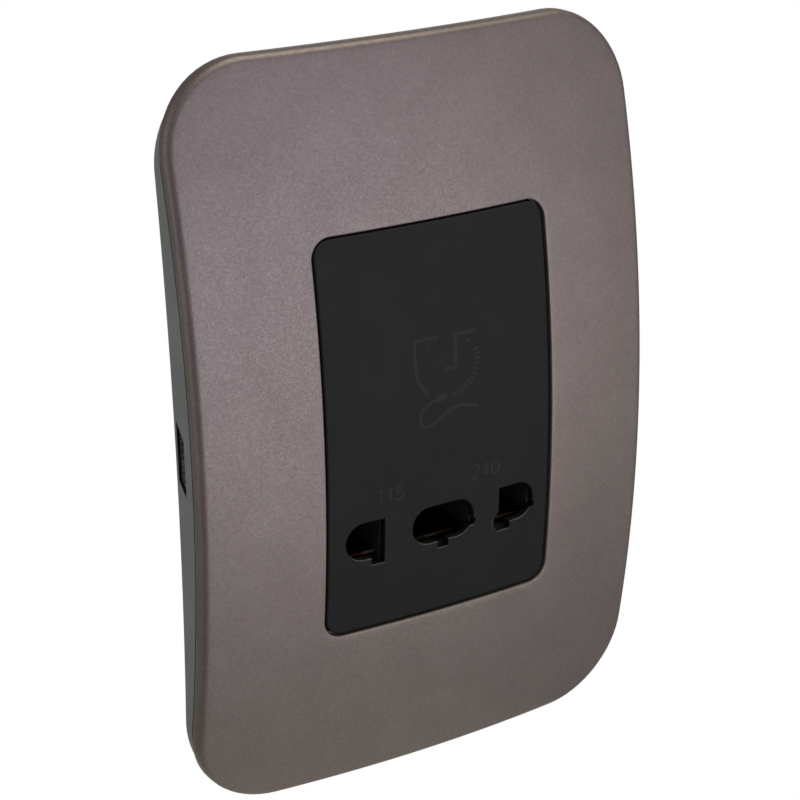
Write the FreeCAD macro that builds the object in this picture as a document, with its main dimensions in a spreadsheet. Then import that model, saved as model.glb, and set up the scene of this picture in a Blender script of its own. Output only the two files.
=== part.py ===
import FreeCAD, Part
import math
import os
import Sketcher
from FreeCAD import Vector

# Shaver socket for a wall box: an arched cover plate on a plastic frame, with a socket
# module in its window. Millimetres, +Z up, +X to the right, front towards -Y.
# The origin lies on the wall, at the middle of the plate.

os.makedirs("parts", exist_ok=True)
doc = FreeCAD.newDocument("ShaverSocket")
sheet = doc.addObject("Spreadsheet::Sheet", "Sizes")

sizes = {
    # cover plate
    "plateWidth": 88.0,
    "plateHeight": 128.5,
    "plateCorner": 15.1,
    "faceDepth": 13.9,
    "faceRadiusAcross": 263.0,
    "faceRadiusUp": 237.5,
    "plateRim": 1.5,
    "plateWall": 1.5,
    "plateSkirt": 2.84,
    "windowWidth": 45.0,
    "windowHeight": 69.3,
    "windowCorner": 3.5,
    "windowRise": 0.4,
    "windowRim": 0.3,
    "windowRimReach": 3.45,
    "faceCutSides": 8.0,
    "faceCutEnds": 12.0,
    "faceCutFront": 20.0,
    "faceCutRear": 66.0,
    # frame behind the cover
    "frameSideInset": 0.15,
    "frameEndInset": 0.7,
    "frameCorner": 15.6,
    "frameWall": 2.0,
    "coverGap": 0.25,
    "archRise": 1.95,
    "archHalf": 47.9,
    "archInside": 26.0,
    "collarWall": 2.0,
    "ledgeDepth": 1.8,
    "ledgeWidth": 1.3,
    "screwSpacing": 83.5,
    "screwBossRadius": 4.9,
    "screwHoleRadius": 1.9,
    "screwHeadHole": 3.9,
    "screwSeat": 4.5,
    "notchTop": 7.3,
    "notchShoulder": 4.3,
    "notchFoot": 3.1,
    "notchTip": 5.5,
    "notchRear": 2.6,
    "notchDepth": 4.9,
    # socket front
    "windowGap": 0.4,
    "frontRecess": 0.3,
    "frontWall": 1.5,
    "frontSideWall": 1.25,
    "frontRim": 0.4,
    "frontRimReach": 4.0,
    "frontSeatGap": 0.2,
    "holeTop": 14.0,
    "holeBottom": 20.8,
    "notchBottom": 22.1,
    "outerHoleFlat": 11.5,
    "outerHoleStraight": 3.9,
    "middleHoleHalf": 6.1,
    "outerNotchWidth": 2.4,
    "middleNotchWidth": 2.1,
    "holeRim": 0.15,
    # rear housing
    "housingGap": 0.15,
    "housingWall": 1.6,
    "housingFront": 4.0,
    "housingRear": 43.3,
    "housingRearWall": 1.8,
    "postRadius": 2.7,
    "postInset": 4.4,
    "postGap": 0.1,
    "hookHalf": 5.0,
    "hookHeight": 1.2,
    "hookLength": 3.0,
    "hookGap": 0.2,
    "wireEntryRadius": 2.2,
    "screwEntryRadius": 3.0,
    # housing screws
    "caseScrewRadius": 1.3,
    "caseScrewHead": 2.4,
    "caseScrewHeadHeight": 1.6,
    "caseScrewGrip": 4.6,
    "screwClearance": 0.1,
    # contact carrier and contacts
    "carrierSideGap": 0.45,
    "carrierTop": 11.0,
    "carrierBottom": 24.4,
    "carrierRear": 7.0,
    "carrierWall": 1.2,
    "carrierGap": 0.1,
    "carrierSideWall": 0.4,
    "cavityClear": 0.5,
    "cavitySide": 0.3,
    "contactThick": 0.5,
    "contactDrop": 2.2,
    "contactThroat": 2.25,
    "contactThroatAt": 1.5,
    "contactMouth": 2.95,
    "contactRoot": 2.7,
    "contactInward": 0.3,
    "middleContactWidth": 11.8,
    "tagWidth": 2.4,
    "tagLength": 5.0,
    "tagGap": 0.2,
    # transformer
    "coreFront": 7.5,
    "coreStack": 20.0,
    "coreLimb": 8.0,
    "coreTopGap": 0.4,
    "coreRearGap": 0.15,
    "coreCarrierGap": 1.4,
    "bobbinGap": 0.15,
    "bobbinWall": 1.0,
    "bobbinEndGap": 0.2,
    "bobbinSideGap": 1.1,
    "bobbinLip": 0.9,
    "windingGap": 0.05,
    "windingCorner": 3.5,
    "tapeThick": 0.3,
    "bracketThick": 0.8,
    "bracketWidth": 18.0,
    "bracketGap": 0.05,
    "pinRadius": 0.4,
    "pinLength": 3.0,
    "livePinInset": 4.0,
    "linkPinInset": 1.8,
    "leftPinInset": 3.0,
    "middlePinOut": 2.0,
    "rightPinInset": 2.0,
    "cutoutInset": 0.4,
    "cutoutCoreGap": 1.0,
    "cutoutRearInset": 2.0,
    "cutoutLength": 14.0,
    "cutoutHeight": 4.0,
    "cutoutGap": 0.15,
    # terminals
    "terminalY": 33.0,
    "blockPostGap": 0.9,
    "blockEndWall": 0.7,
    "blockFootGap": 0.25,
    "blockHeight": 12.6,
    "blockFront": 24.0,
    "blockRearGap": 0.25,
    "clampWall": 1.4,
    "clampHeight": 7.5,
    "clampLength": 11.0,
    "clampFloor": 2.0,
    "clampGap": 0.15,
    "wireBoreRadius": 1.7,
    "wireBoreUp": 4.4,
    "terminalScrewRadius": 1.6,
    "terminalScrewHead": 2.7,
    "terminalScrewHeadHeight": 1.1,
    "strapWidth": 4.0,
    "strapThick": 0.6,
    "strapFoot": 8.0,
    "leadRadius": 0.7,
    "leadBend": 1.6,
    "leadSeatGap": 0.1,
    "pinLeadGap": 0.15,
    "liveTurn": 8.0,
    "liveRise": 12.0,
    "neutralTurn": 6.5,
    "neutralRise": 11.0,
    "neutralShift": 0.1,
    "neutralBack": 1.0,
    "tagJoin": 1.2,
    "outletTurn": 1.0,
    "outletRise": 5.0,
    "middleTurn": 3.5,
    "middleShift": 1.8,
    "middleStep": 1.5,
    "labelThick": 0.15,
    "labelWidth": 30.0,
    "labelHeight": 22.0,
    "labelDepth": 21.0,
}

for row, (name, number) in enumerate(sizes.items(), start=1):
    sheet.set(f"A{row}", name)
    sheet.set(f"B{row}", str(number))
    sheet.setAlias(f"B{row}", name)
doc.recompute()

# sizes that follow from the driving ones, as expressions
plateRearDepth = "(Sizes.faceDepth - Sizes.plateSkirt)"
plateInnerDepth = "(Sizes.faceDepth - Sizes.plateWall)"
plateInnerWidth = "(Sizes.plateWidth - 2 * Sizes.plateWall)"
plateInnerHeight = "(Sizes.plateHeight - 2 * Sizes.plateWall)"
plateInnerCorner = "(Sizes.plateCorner - Sizes.plateWall)"
frontWidth = "(Sizes.windowWidth - 2 * Sizes.windowGap)"
frontHeight = "(Sizes.windowHeight - 2 * Sizes.windowGap)"
frontCorner = "(Sizes.windowCorner - Sizes.windowGap)"
frontDepth = "(Sizes.faceDepth - Sizes.frontRecess)"
frontInnerDepth = "(Sizes.faceDepth - Sizes.frontRecess - Sizes.frontWall)"
frontInnerWidth = f"({frontWidth} - 2 * Sizes.frontSideWall)"
frontInnerHeight = f"({frontHeight} - 2 * Sizes.frontSideWall)"
frontInnerCorner = f"({frontCorner} - Sizes.frontSideWall)"
frontRearDepth = "(Sizes.ledgeDepth + Sizes.frontSeatGap)"
housingWidth = f"({frontInnerWidth} - 2 * Sizes.housingGap)"
housingHeight = f"({frontInnerHeight} - 2 * Sizes.housingGap)"
housingCorner = f"({frontInnerCorner} - Sizes.housingGap)"
housingFloor = "(Sizes.housingRear - Sizes.housingRearWall)"
collarWidth = f"({frontWidth} + 2 * Sizes.coverGap)"
collarHeight = f"({frontHeight} + 2 * Sizes.coverGap)"
collarCorner = f"({frontCorner} + Sizes.coverGap)"
holeCentre = "(-(Sizes.holeTop + Sizes.holeBottom) / 2)"
holeHalf = "((Sizes.holeBottom - Sizes.holeTop) / 2)"
housingInside = f"({housingWidth} / 2 - Sizes.housingWall)"
housingRoof = f"(Sizes.windowRise + {housingHeight} / 2 - Sizes.housingWall)"
housingFoot = f"({housingHeight} / 2 - Sizes.windowRise - Sizes.housingWall)"
postAcross = f"({housingWidth} / 2 - Sizes.postInset)"
postUp = f"({housingHeight} / 2 - Sizes.postInset)"
carrierHalf = f"({frontInnerWidth} / 2 - Sizes.carrierSideGap)"
carrierRearHalf = f"({housingInside} - Sizes.carrierGap)"
contactFront = f"({frontInnerDepth} - Sizes.contactDrop)"
contactRear = "(Sizes.carrierRear - Sizes.carrierWall - Sizes.carrierGap)"
outerContactAt = "(Sizes.outerHoleFlat + Sizes.outerHoleStraight - Sizes.contactInward)"
outerContactRoom = f"({carrierRearHalf} - Sizes.carrierSideWall - Sizes.cavitySide - {outerContactAt})"
outerContactWidth = f"(2 * {outerContactRoom})"
coreTop = f"({housingRoof} - Sizes.coreTopGap - Sizes.bracketThick - Sizes.bracketGap)"
coreRear = f"({housingFloor} - Sizes.coreRearGap - Sizes.bracketThick - Sizes.bracketGap)"
coreAcross = f"(({coreRear} - Sizes.coreFront) / 2)"
coreHalf = f"(({coreRear} + Sizes.coreFront) / 2)"
coreBottom = "(Sizes.coreCarrierGap - Sizes.carrierTop)"
limbEnd = f"({coreBottom} + Sizes.coreLimb)"
windowTop = f"({coreTop} - Sizes.coreLimb)"
bobbinHalfWidth = f"({housingInside} - Sizes.bobbinSideGap)"
bobbinHalfDepth = f"({coreHalf} - Sizes.coreLimb - Sizes.bobbinEndGap)"
windingHalfWidth = f"({bobbinHalfWidth} - Sizes.bobbinLip)"
windingHalfDepth = f"({bobbinHalfDepth} - Sizes.bobbinLip)"
blockBottom = f"({housingFoot} - Sizes.blockFootGap)"
blockTop = f"({blockBottom} - Sizes.blockHeight)"
blockHalf = f"({postAcross} - Sizes.postRadius - Sizes.blockPostGap)"
terminalPitch = f"(2 * ({blockHalf} - Sizes.blockEndWall) / 3)"
clampWidth = f"({terminalPitch} - Sizes.clampWall)"
clampBottom = f"({blockBottom} - Sizes.clampFloor)"
wireBoreZ = f"({clampBottom} - Sizes.wireBoreUp)"


def value(expression):
    """Number that an expression of the sheet gives."""
    return float(sheet.evalExpression(str(expression)))


def negative(expression):
    return f"(0 - {expression})"


def newBody(label, severalSolids=False):
    body = doc.addObject("PartDesign::Body", label)
    body.Label = label
    body.AllowCompound = severalSolids
    return body


def sketchOn(body, plane, offset="0"):
    """Sketch on an origin plane: XZ_Plane looks towards -Y, so its offset is a depth in front of the wall."""
    sketch = body.newObject("Sketcher::SketchObject", "Sketch")
    support = [item for item in body.Origin.OriginFeatures if item.Role == plane][0]
    sketch.AttachmentSupport = [(support, "")]
    sketch.MapMode = "FlatFace"
    sketch.setExpression("AttachmentOffset.Base.z", offset)
    return sketch


def bindConstraint(sketch, constraint, expression, name):
    index = sketch.addConstraint(constraint)
    sketch.renameConstraint(index, name)
    sketch.setExpression(f"Constraints.{name}", expression)


def polygon(sketch, corners):
    """Closed outline of straight lines; each corner's two distances are bound to expressions."""
    points = [Vector(value(across), value(up), 0) for across, up in corners]
    count = len(points)
    for index in range(count):
        sketch.addGeometry(Part.LineSegment(points[index], points[(index + 1) % count]))
    for index in range(count):
        sketch.addConstraint(Sketcher.Constraint("Coincident", index, 2, (index + 1) % count, 1))
    for index, (across, up) in enumerate(corners):
        point = points[index]
        distance = Sketcher.Constraint("DistanceX", -1, 1, index, 1, point.x)
        bindConstraint(sketch, distance, across, f"across{index}")
        distance = Sketcher.Constraint("DistanceY", -1, 1, index, 1, point.y)
        bindConstraint(sketch, distance, up, f"up{index}")


def rectangle(sketch, left, right, bottom, top):
    polygon(sketch, [(left, bottom), (right, bottom), (right, top), (left, top)])


def roundedRectangle(sketch, width, height, corner, centreX="0", centreY="0"):
    """Rectangle with equal round corners, as four lines and four tangent arcs."""
    first = sketch.GeometryCount
    halfWidth = value(width) / 2
    halfHeight = value(height) / 2
    radius = value(corner)
    midX = value(centreX)
    midY = value(centreY)
    arcs = [(1, -1, -90), (1, 1, 0), (-1, 1, 90), (-1, -1, 180)]
    for sideX, sideY, start in arcs:
        middle = Vector(midX + sideX * (halfWidth - radius), midY + sideY * (halfHeight - radius), 0)
        circle = Part.Circle(middle, Vector(0, 0, 1), radius)
        sketch.addGeometry(Part.ArcOfCircle(circle, math.radians(start), math.radians(start + 90)))
    ends = [(0, 1), (1, 2), (2, 3), (3, 0)]
    for before, after in ends:
        startPoint = sketch.getPoint(first + before, 2)
        endPoint = sketch.getPoint(first + after, 1)
        sketch.addGeometry(Part.LineSegment(startPoint, endPoint))
    for index, (before, after) in enumerate(ends):
        line = first + 4 + index
        sketch.addConstraint(Sketcher.Constraint("Tangent", first + before, 2, line, 1))
        sketch.addConstraint(Sketcher.Constraint("Tangent", line, 2, first + after, 1))
    for index in (1, 2, 3):
        sketch.addConstraint(Sketcher.Constraint("Equal", first, first + index))
    for line in (first + 4, first + 6):
        sketch.addConstraint(Sketcher.Constraint("Vertical", line))
    for line in (first + 5, first + 7):
        sketch.addConstraint(Sketcher.Constraint("Horizontal", line))
    tag = f"of{first}"
    bindConstraint(sketch, Sketcher.Constraint("Radius", first, radius), corner, f"corner{tag}")
    sides = [
        ("DistanceX", first + 4, f"{centreX} + {width} / 2", "right"),
        ("DistanceX", first + 6, f"{centreX} - {width} / 2", "left"),
        ("DistanceY", first + 5, f"{centreY} + {height} / 2", "top"),
        ("DistanceY", first + 7, f"{centreY} - {height} / 2", "bottom"),
    ]
    for kind, line, expression, name in sides:
        constraint = Sketcher.Constraint(kind, -1, 1, line, 1, value(expression))
        bindConstraint(sketch, constraint, expression, f"{name}{tag}")


def circle(sketch, radius, centreX="0", centreY="0"):
    index = sketch.GeometryCount
    middle = Vector(value(centreX), value(centreY), 0)
    sketch.addGeometry(Part.Circle(middle, Vector(0, 0, 1), value(radius)))
    constraint = Sketcher.Constraint("Radius", index, value(radius))
    bindConstraint(sketch, constraint, radius, f"radius{index}")
    constraint = Sketcher.Constraint("DistanceX", -1, 1, index, 3, middle.x)
    bindConstraint(sketch, constraint, centreX, f"across{index}")
    constraint = Sketcher.Constraint("DistanceY", -1, 1, index, 3, middle.y)
    bindConstraint(sketch, constraint, centreY, f"up{index}")


def pad(body, sketch, length, backwards=False, symmetric=False):
    feature = body.newObject("PartDesign::Pad", "Pad")
    feature.Profile = sketch
    feature.setExpression("Length", length)
    feature.Reversed = backwards
    if symmetric:
        feature.SideType = "Symmetric"
    doc.recompute()
    return feature


idleCuts = []


def checkCut(body, feature, before):
    """A cut that takes nothing away is noted, because it raises no error by itself."""
    doc.recompute()
    if feature.Shape.isNull() or feature.Shape.Volume > before - 1e-4:
        idleCuts.append(f"{body.Label}: {feature.Label}")


def pocket(body, sketch, length=None, forwards=False, symmetric=False):
    """Pocket along the sketch normal's far side, or towards it with forwards; all the way with no length."""
    before = body.Shape.Volume
    feature = body.newObject("PartDesign::Pocket", "Pocket")
    feature.Profile = sketch
    if length is None:
        feature.Type = "ThroughAll"
    else:
        feature.setExpression("Length", length)
    feature.Reversed = forwards
    if symmetric:
        feature.SideType = "Symmetric"
    checkCut(body, feature, before)
    return feature


def faceCut(body, depth, behind=False):
    """Groove along the arched face at a depth in front of the wall.

    The face is an arc across the plate, turned about a level axis far behind it.
    It takes what lies in front of the face, or what lies behind it.
    """
    before = body.Shape.Volume
    sketch = sketchOn(body, "XY_Plane")
    across = value("Sizes.faceRadiusAcross")
    front = -value(depth)
    reachExpression = "(Sizes.plateWidth / 2 + Sizes.faceCutSides)"
    reach = value(reachExpression)
    end = front + across - math.sqrt(across ** 2 - reach ** 2)
    farExpression = f"(Sizes.faceCutRear - {depth})" if behind else f"(0 - {depth} - Sizes.faceCutFront)"
    far = value(farExpression)
    half = math.asin(reach / across)
    arc = Part.ArcOfCircle(
        Part.Circle(Vector(0, front + across, 0), Vector(0, 0, 1), across),
        -math.pi / 2 - half, -math.pi / 2 + half)
    sketch.addGeometry(arc)
    sketch.addGeometry(Part.LineSegment(Vector(reach, end, 0), Vector(reach, far, 0)))
    sketch.addGeometry(Part.LineSegment(Vector(reach, far, 0), Vector(-reach, far, 0)))
    sketch.addGeometry(Part.LineSegment(Vector(-reach, far, 0), Vector(-reach, end, 0)))
    axisY = front + value("Sizes.faceRadiusUp")
    sketch.addGeometry(Part.LineSegment(Vector(-reach, axisY, 0), Vector(reach, axisY, 0)), True)
    sketch.addConstraint(Sketcher.Constraint("Coincident", 0, 2, 1, 1))
    sketch.addConstraint(Sketcher.Constraint("Coincident", 1, 2, 2, 1))
    sketch.addConstraint(Sketcher.Constraint("Coincident", 2, 2, 3, 1))
    sketch.addConstraint(Sketcher.Constraint("Coincident", 3, 2, 0, 1))
    sketch.addConstraint(Sketcher.Constraint("Vertical", 1))
    sketch.addConstraint(Sketcher.Constraint("Vertical", 3))
    sketch.addConstraint(Sketcher.Constraint("Horizontal", 2))
    sketch.addConstraint(Sketcher.Constraint("Horizontal", 4))
    sketch.addConstraint(Sketcher.Constraint("PointOnObject", 0, 3, -2))
    bindConstraint(sketch, Sketcher.Constraint("Radius", 0, across), "Sizes.faceRadiusAcross", "arc")
    distances = [
        ("DistanceY", 0, 3, f"Sizes.faceRadiusAcross - {depth}", "arcCentre"),
        ("DistanceX", 0, 2, reachExpression, "arcRight"),
        ("DistanceX", 0, 1, negative(reachExpression), "arcLeft"),
        ("DistanceY", 1, 2, farExpression, "farSide"),
        ("DistanceY", 4, 1, f"Sizes.faceRadiusUp - {depth}", "axisHeight"),
        ("DistanceX", 4, 1, negative(reachExpression), "axisLeft"),
        ("DistanceX", 4, 2, reachExpression, "axisRight"),
    ]
    for kind, geometry, point, expression, name in distances:
        constraint = Sketcher.Constraint(kind, -1, 1, geometry, point, value(expression))
        bindConstraint(sketch, constraint, expression, name)
    groove = body.newObject("PartDesign::Groove", "FaceGroove")
    groove.Profile = sketch
    groove.ReferenceAxis = (sketch, ["Axis0"])
    groove.Midplane = True
    groove.setExpression(
        "Angle", "2 * asin((Sizes.plateHeight / 2 + Sizes.faceCutEnds) / Sizes.faceRadiusUp)")
    checkCut(body, groove, before)
    return groove


def faceAt(across, up, depth):
    """Y of the arched face at a place on it, for a face that stands this depth in front of the wall."""
    radiusAcross = value("Sizes.faceRadiusAcross")
    radiusUp = value("Sizes.faceRadiusUp")
    sag = radiusAcross - math.sqrt(radiusAcross ** 2 - across ** 2)
    return radiusUp - value(depth) - math.sqrt((radiusUp - sag) ** 2 - up ** 2)


def roundEdges(body, radius, chosen):
    """Fillet on the edges of the body's last shape for which chosen(edge) is true."""
    base = body.Tip
    names = [f"Edge{index + 1}" for index, edge in enumerate(base.Shape.Edges) if chosen(edge)]
    fillet = body.newObject("PartDesign::Fillet", "Fillet")
    fillet.Base = (base, names)
    fillet.setExpression("Radius", radius)
    doc.recompute()
    return fillet


def isFrontRim(edge, halfWidth, halfHeight, depth):
    """True for an edge that runs round the front of an upright outline of about this size."""
    middle = edge.CenterOfMass
    runsBack = abs(edge.tangentAt(edge.FirstParameter).y) > 0.99
    box = edge.BoundBox
    inside = abs(middle.x) < halfWidth + 0.1 and abs(middle.z) < halfHeight + 0.5
    return not runsBack and middle.y < -depth and inside and box.YMax < -depth / 2


def turned(body, plane, offset, centre, profile):
    """Revolved piece: profile corners are (radius, along), about an upright line of the sketch at centre."""
    sketch = sketchOn(body, plane, offset)
    polygon(sketch, [(f"{centre} + {radius}", along) for radius, along in profile])
    low = profile[0][1]
    high = profile[-1][1]
    start = Vector(value(centre), value(low), 0)
    end = Vector(value(centre), value(high), 0)
    axis = sketch.addGeometry(Part.LineSegment(start, end), True)
    last = len(profile) - 1
    sketch.addConstraint(Sketcher.Constraint("Coincident", axis, 1, 0, 1))
    sketch.addConstraint(Sketcher.Constraint("Coincident", axis, 2, last, 1))
    feature = body.newObject("PartDesign::Revolution", "Turned")
    feature.Profile = sketch
    feature.ReferenceAxis = (sketch, ["Axis0"])
    feature.Angle = 360
    doc.recompute()
    return feature


def cutAway(label, base, tool):
    cut = doc.addObject("Part::Cut", label)
    cut.Label = label
    cut.Base = base
    cut.Tool = tool
    return cut


def joined(label, pieces):
    fuse = doc.addObject("Part::MultiFuse", label)
    fuse.Label = label
    fuse.Shapes = pieces
    return fuse


def filletedPath(points, bend):
    """Wire of straight runs joined by tangent arcs of one radius, limited by the shorter run."""
    edges = []
    start = points[0]
    for index in range(1, len(points) - 1):
        corner = points[index]
        into = (corner - points[index - 1]).normalize()
        out = (points[index + 1] - corner).normalize()
        half = into.getAngle(out) / 2
        shorter = min(corner.distanceToPoint(points[index - 1]), corner.distanceToPoint(points[index + 1]))
        radius = min(bend, 0.45 * shorter / math.tan(half))
        trim = radius * math.tan(half)
        arcStart = corner - into * trim
        arcEnd = corner + out * trim
        inward = (out - into).normalize()
        middle = corner + inward * (radius / math.cos(half) - radius)
        edges.append(Part.LineSegment(start, arcStart).toShape())
        edges.append(Part.Arc(arcStart, middle, arcEnd).toShape())
        start = arcEnd
    edges.append(Part.LineSegment(start, points[-1]).toShape())
    return Part.Wire(edges)


def leadSolid(corners):
    """Insulated lead as a round tube along a filleted path through the corners."""
    points = [Vector(value(x), value(y), value(z)) for x, y, z in corners]
    path = filletedPath(points, value("Sizes.leadBend"))
    ring = Part.makeCircle(value("Sizes.leadRadius"), points[0], points[1] - points[0])
    return path.makePipeShell([Part.Wire(ring)], True, False)


def plainFeature(label, solids):
    feature = doc.addObject("Part::Feature", label)
    feature.Label = label
    feature.Shape = solids[0] if len(solids) == 1 else Part.makeCompound(solids)
    feature.Placement = FreeCAD.Placement()
    return feature


def makeCoverPlate():
    """One-piece shallow tray with an arched face, a short skirt all round and a rounded window."""
    outer = newBody("coverOuter")
    sketch = sketchOn(outer, "XZ_Plane")
    roundedRectangle(sketch, "Sizes.plateWidth", "Sizes.plateHeight", "Sizes.plateCorner")
    pad(outer, sketch, "Sizes.faceDepth + 2")
    faceCut(outer, "Sizes.faceDepth")
    halfWidth = value("Sizes.plateWidth") / 2
    halfHeight = value("Sizes.plateHeight") / 2
    roundEdges(outer, "Sizes.plateRim", lambda edge: isFrontRim(edge, halfWidth, halfHeight, 1.0))
    faceCut(outer, plateRearDepth, behind=True)
    sketch = sketchOn(outer, "XZ_Plane")
    roundedRectangle(
        sketch, "Sizes.windowWidth", "Sizes.windowHeight", "Sizes.windowCorner", "0", "Sizes.windowRise")
    pocket(outer, sketch, symmetric=True)
    innerDepth = value("Sizes.faceDepth - Sizes.windowRimReach")
    windowHalfWidth = value("Sizes.windowWidth") / 2
    windowHalfHeight = value("Sizes.windowHeight") / 2 + value("Sizes.windowRise")

    def isWindowFront(edge):
        middle = edge.CenterOfMass
        onFace = abs(middle.y - faceAt(middle.x, middle.z, "Sizes.faceDepth")) < 0.4
        return onFace and isFrontRim(edge, windowHalfWidth, windowHalfHeight, innerDepth)

    roundEdges(outer, "Sizes.windowRim", isWindowFront)
    hollow = newBody("coverHollow")
    sketch = sketchOn(hollow, "XZ_Plane", "-5")
    roundedRectangle(sketch, plateInnerWidth, plateInnerHeight, plateInnerCorner)
    pad(hollow, sketch, "Sizes.faceDepth + 7")
    faceCut(hollow, plateInnerDepth)
    return cutAway("cover_plate", outer, hollow)


def makeBaseFrame():
    """Plastic frame under the cover: hollow from behind, with a collar that holds the module."""
    deckDepth = f"({plateInnerDepth} - Sizes.coverGap)"
    rim = newBody("frameRim")
    sketch = sketchOn(rim, "XZ_Plane")
    roundedRectangle(
        sketch,
        "(Sizes.plateWidth - 2 * Sizes.frameSideInset)",
        "(Sizes.plateHeight - 2 * Sizes.frameEndInset)",
        "Sizes.frameCorner")
    pad(rim, sketch, "Sizes.faceDepth")
    faceCut(rim, f"({plateRearDepth} - Sizes.coverGap)")
    deck = newBody("frameDeck")
    sketch = sketchOn(deck, "XZ_Plane")
    roundedRectangle(
        sketch,
        f"({plateInnerWidth} - 2 * Sizes.coverGap)",
        f"({plateInnerHeight} - 2 * Sizes.coverGap)",
        f"({plateInnerCorner} - Sizes.coverGap)")
    pad(deck, sketch, "Sizes.faceDepth")
    faceCut(deck, deckDepth)
    hollow = newBody("frameHollow")
    sketch = sketchOn(hollow, "XZ_Plane", "-1")
    roundedRectangle(
        sketch,
        f"({plateInnerWidth} - 2 * Sizes.frameWall)",
        f"({plateInnerHeight} - 2 * Sizes.frameWall)",
        f"({plateInnerCorner} - Sizes.frameWall)")
    pad(hollow, sketch, "Sizes.faceDepth + 1")
    faceCut(hollow, f"({deckDepth} - Sizes.frameWall)")
    sketch = sketchOn(hollow, "XZ_Plane")
    roundedRectangle(
        sketch,
        f"({collarWidth} + 2 * Sizes.collarWall)",
        f"({collarHeight} + 2 * Sizes.collarWall)",
        f"({collarCorner} + Sizes.collarWall)",
        "0", "Sizes.windowRise")
    pocket(hollow, sketch, symmetric=True)
    for side in (-1, 1):
        sketch = sketchOn(hollow, "XZ_Plane")
        circle(sketch, "Sizes.screwBossRadius", "0", f"({side} * Sizes.screwSpacing / 2)")
        pocket(hollow, sketch, symmetric=True)
    opening = newBody("frameOpening")
    sketch = sketchOn(opening, "XZ_Plane", "Sizes.ledgeDepth")
    roundedRectangle(sketch, collarWidth, collarHeight, collarCorner, "0", "Sizes.windowRise")
    pad(opening, sketch, "Sizes.faceDepth")
    sketch = sketchOn(opening, "XZ_Plane", "-1")
    roundedRectangle(
        sketch,
        f"({collarWidth} - 2 * Sizes.ledgeWidth)",
        f"({collarHeight} - 2 * Sizes.ledgeWidth)",
        f"({collarCorner} - Sizes.ledgeWidth)",
        "0", "Sizes.windowRise")
    pad(opening, sketch, "Sizes.ledgeDepth + 2")
    arch = newBody("frameArch", severalSolids=True)
    archRadius = "((Sizes.archHalf ^ 2 + Sizes.archRise ^ 2) / (2 * Sizes.archRise))"
    for side in (-1, 1):
        outside = f"({side} * (Sizes.plateWidth / 2 + 2))"
        inside = f"({side} * Sizes.archInside)"
        low = inside if side > 0 else outside
        sketch = sketchOn(arch, "YZ_Plane", low)
        bow(sketch, archRadius)
        pad(arch, sketch, "Sizes.plateWidth / 2 + 2 - Sizes.archInside")
    screws = newBody("frameScrewHoles", severalSolids=True)
    for side in (-1, 1):
        height = f"({side} * Sizes.screwSpacing / 2)"
        sketch = sketchOn(screws, "XZ_Plane", "-1")
        circle(sketch, "Sizes.screwHoleRadius", "0", height)
        pad(screws, sketch, "Sizes.faceDepth + 1")
        sketch = sketchOn(screws, "XZ_Plane", "Sizes.screwSeat")
        circle(sketch, "Sizes.screwHeadHole", "0", height)
        pad(screws, sketch, "Sizes.faceDepth")
    notch = newBody("frameNotch")
    sketch = sketchOn(notch, "YZ_Plane", "0 - Sizes.plateWidth / 2 - 2")
    polygon(sketch, [
        ("0 - Sizes.notchRear", "Sizes.notchTop"),
        ("0 - Sizes.notchDepth", "Sizes.notchShoulder"),
        ("0 - Sizes.notchDepth", "0 - Sizes.notchTip"),
        ("0 - Sizes.notchRear", "0 - Sizes.notchFoot"),
    ])
    pad(notch, sketch, "Sizes.frameWall + 5")
    solid = joined("frameSolid", [rim, deck])
    cutters = joined("frameCutters", [hollow, opening, arch, screws, notch])
    return cutAway("base_frame", solid, cutters)


def bow(sketch, radius):
    """Shallow segment between the wall plane and an arc that rises from it, closed behind the wall."""
    half = value("Sizes.archHalf")
    rise = value("Sizes.archRise")
    size = value(radius)
    middle = Vector(size - rise, 0, 0)
    angle = math.asin(half / size)
    arc = Part.ArcOfCircle(
        Part.Circle(middle, Vector(0, 0, 1), size), math.pi - angle, math.pi + angle)
    sketch.addGeometry(arc)
    sketch.addGeometry(Part.LineSegment(Vector(0, -half, 0), Vector(1, -half, 0)))
    sketch.addGeometry(Part.LineSegment(Vector(1, -half, 0), Vector(1, half, 0)))
    sketch.addGeometry(Part.LineSegment(Vector(1, half, 0), Vector(0, half, 0)))
    sketch.addConstraint(Sketcher.Constraint("Coincident", 0, 2, 1, 1))
    sketch.addConstraint(Sketcher.Constraint("Coincident", 1, 2, 2, 1))
    sketch.addConstraint(Sketcher.Constraint("Coincident", 2, 2, 3, 1))
    sketch.addConstraint(Sketcher.Constraint("Coincident", 3, 2, 0, 1))
    sketch.addConstraint(Sketcher.Constraint("Horizontal", 1))
    sketch.addConstraint(Sketcher.Constraint("Horizontal", 3))
    sketch.addConstraint(Sketcher.Constraint("Vertical", 2))
    bindConstraint(sketch, Sketcher.Constraint("Radius", 0, size), radius, "archRadius")
    distances = [
        ("DistanceX", 0, 1, "0", "topOnWall"),
        ("DistanceY", 0, 1, "Sizes.archHalf", "top"),
        ("DistanceX", 0, 2, "0", "bottomOnWall"),
        ("DistanceY", 0, 2, "0 - Sizes.archHalf", "bottom"),
        ("DistanceX", 2, 1, "1", "behindWall"),
    ]
    for kind, geometry, point, expression, name in distances:
        constraint = Sketcher.Constraint(kind, -1, 1, geometry, point, value(expression))
        bindConstraint(sketch, constraint, expression, name)


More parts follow.
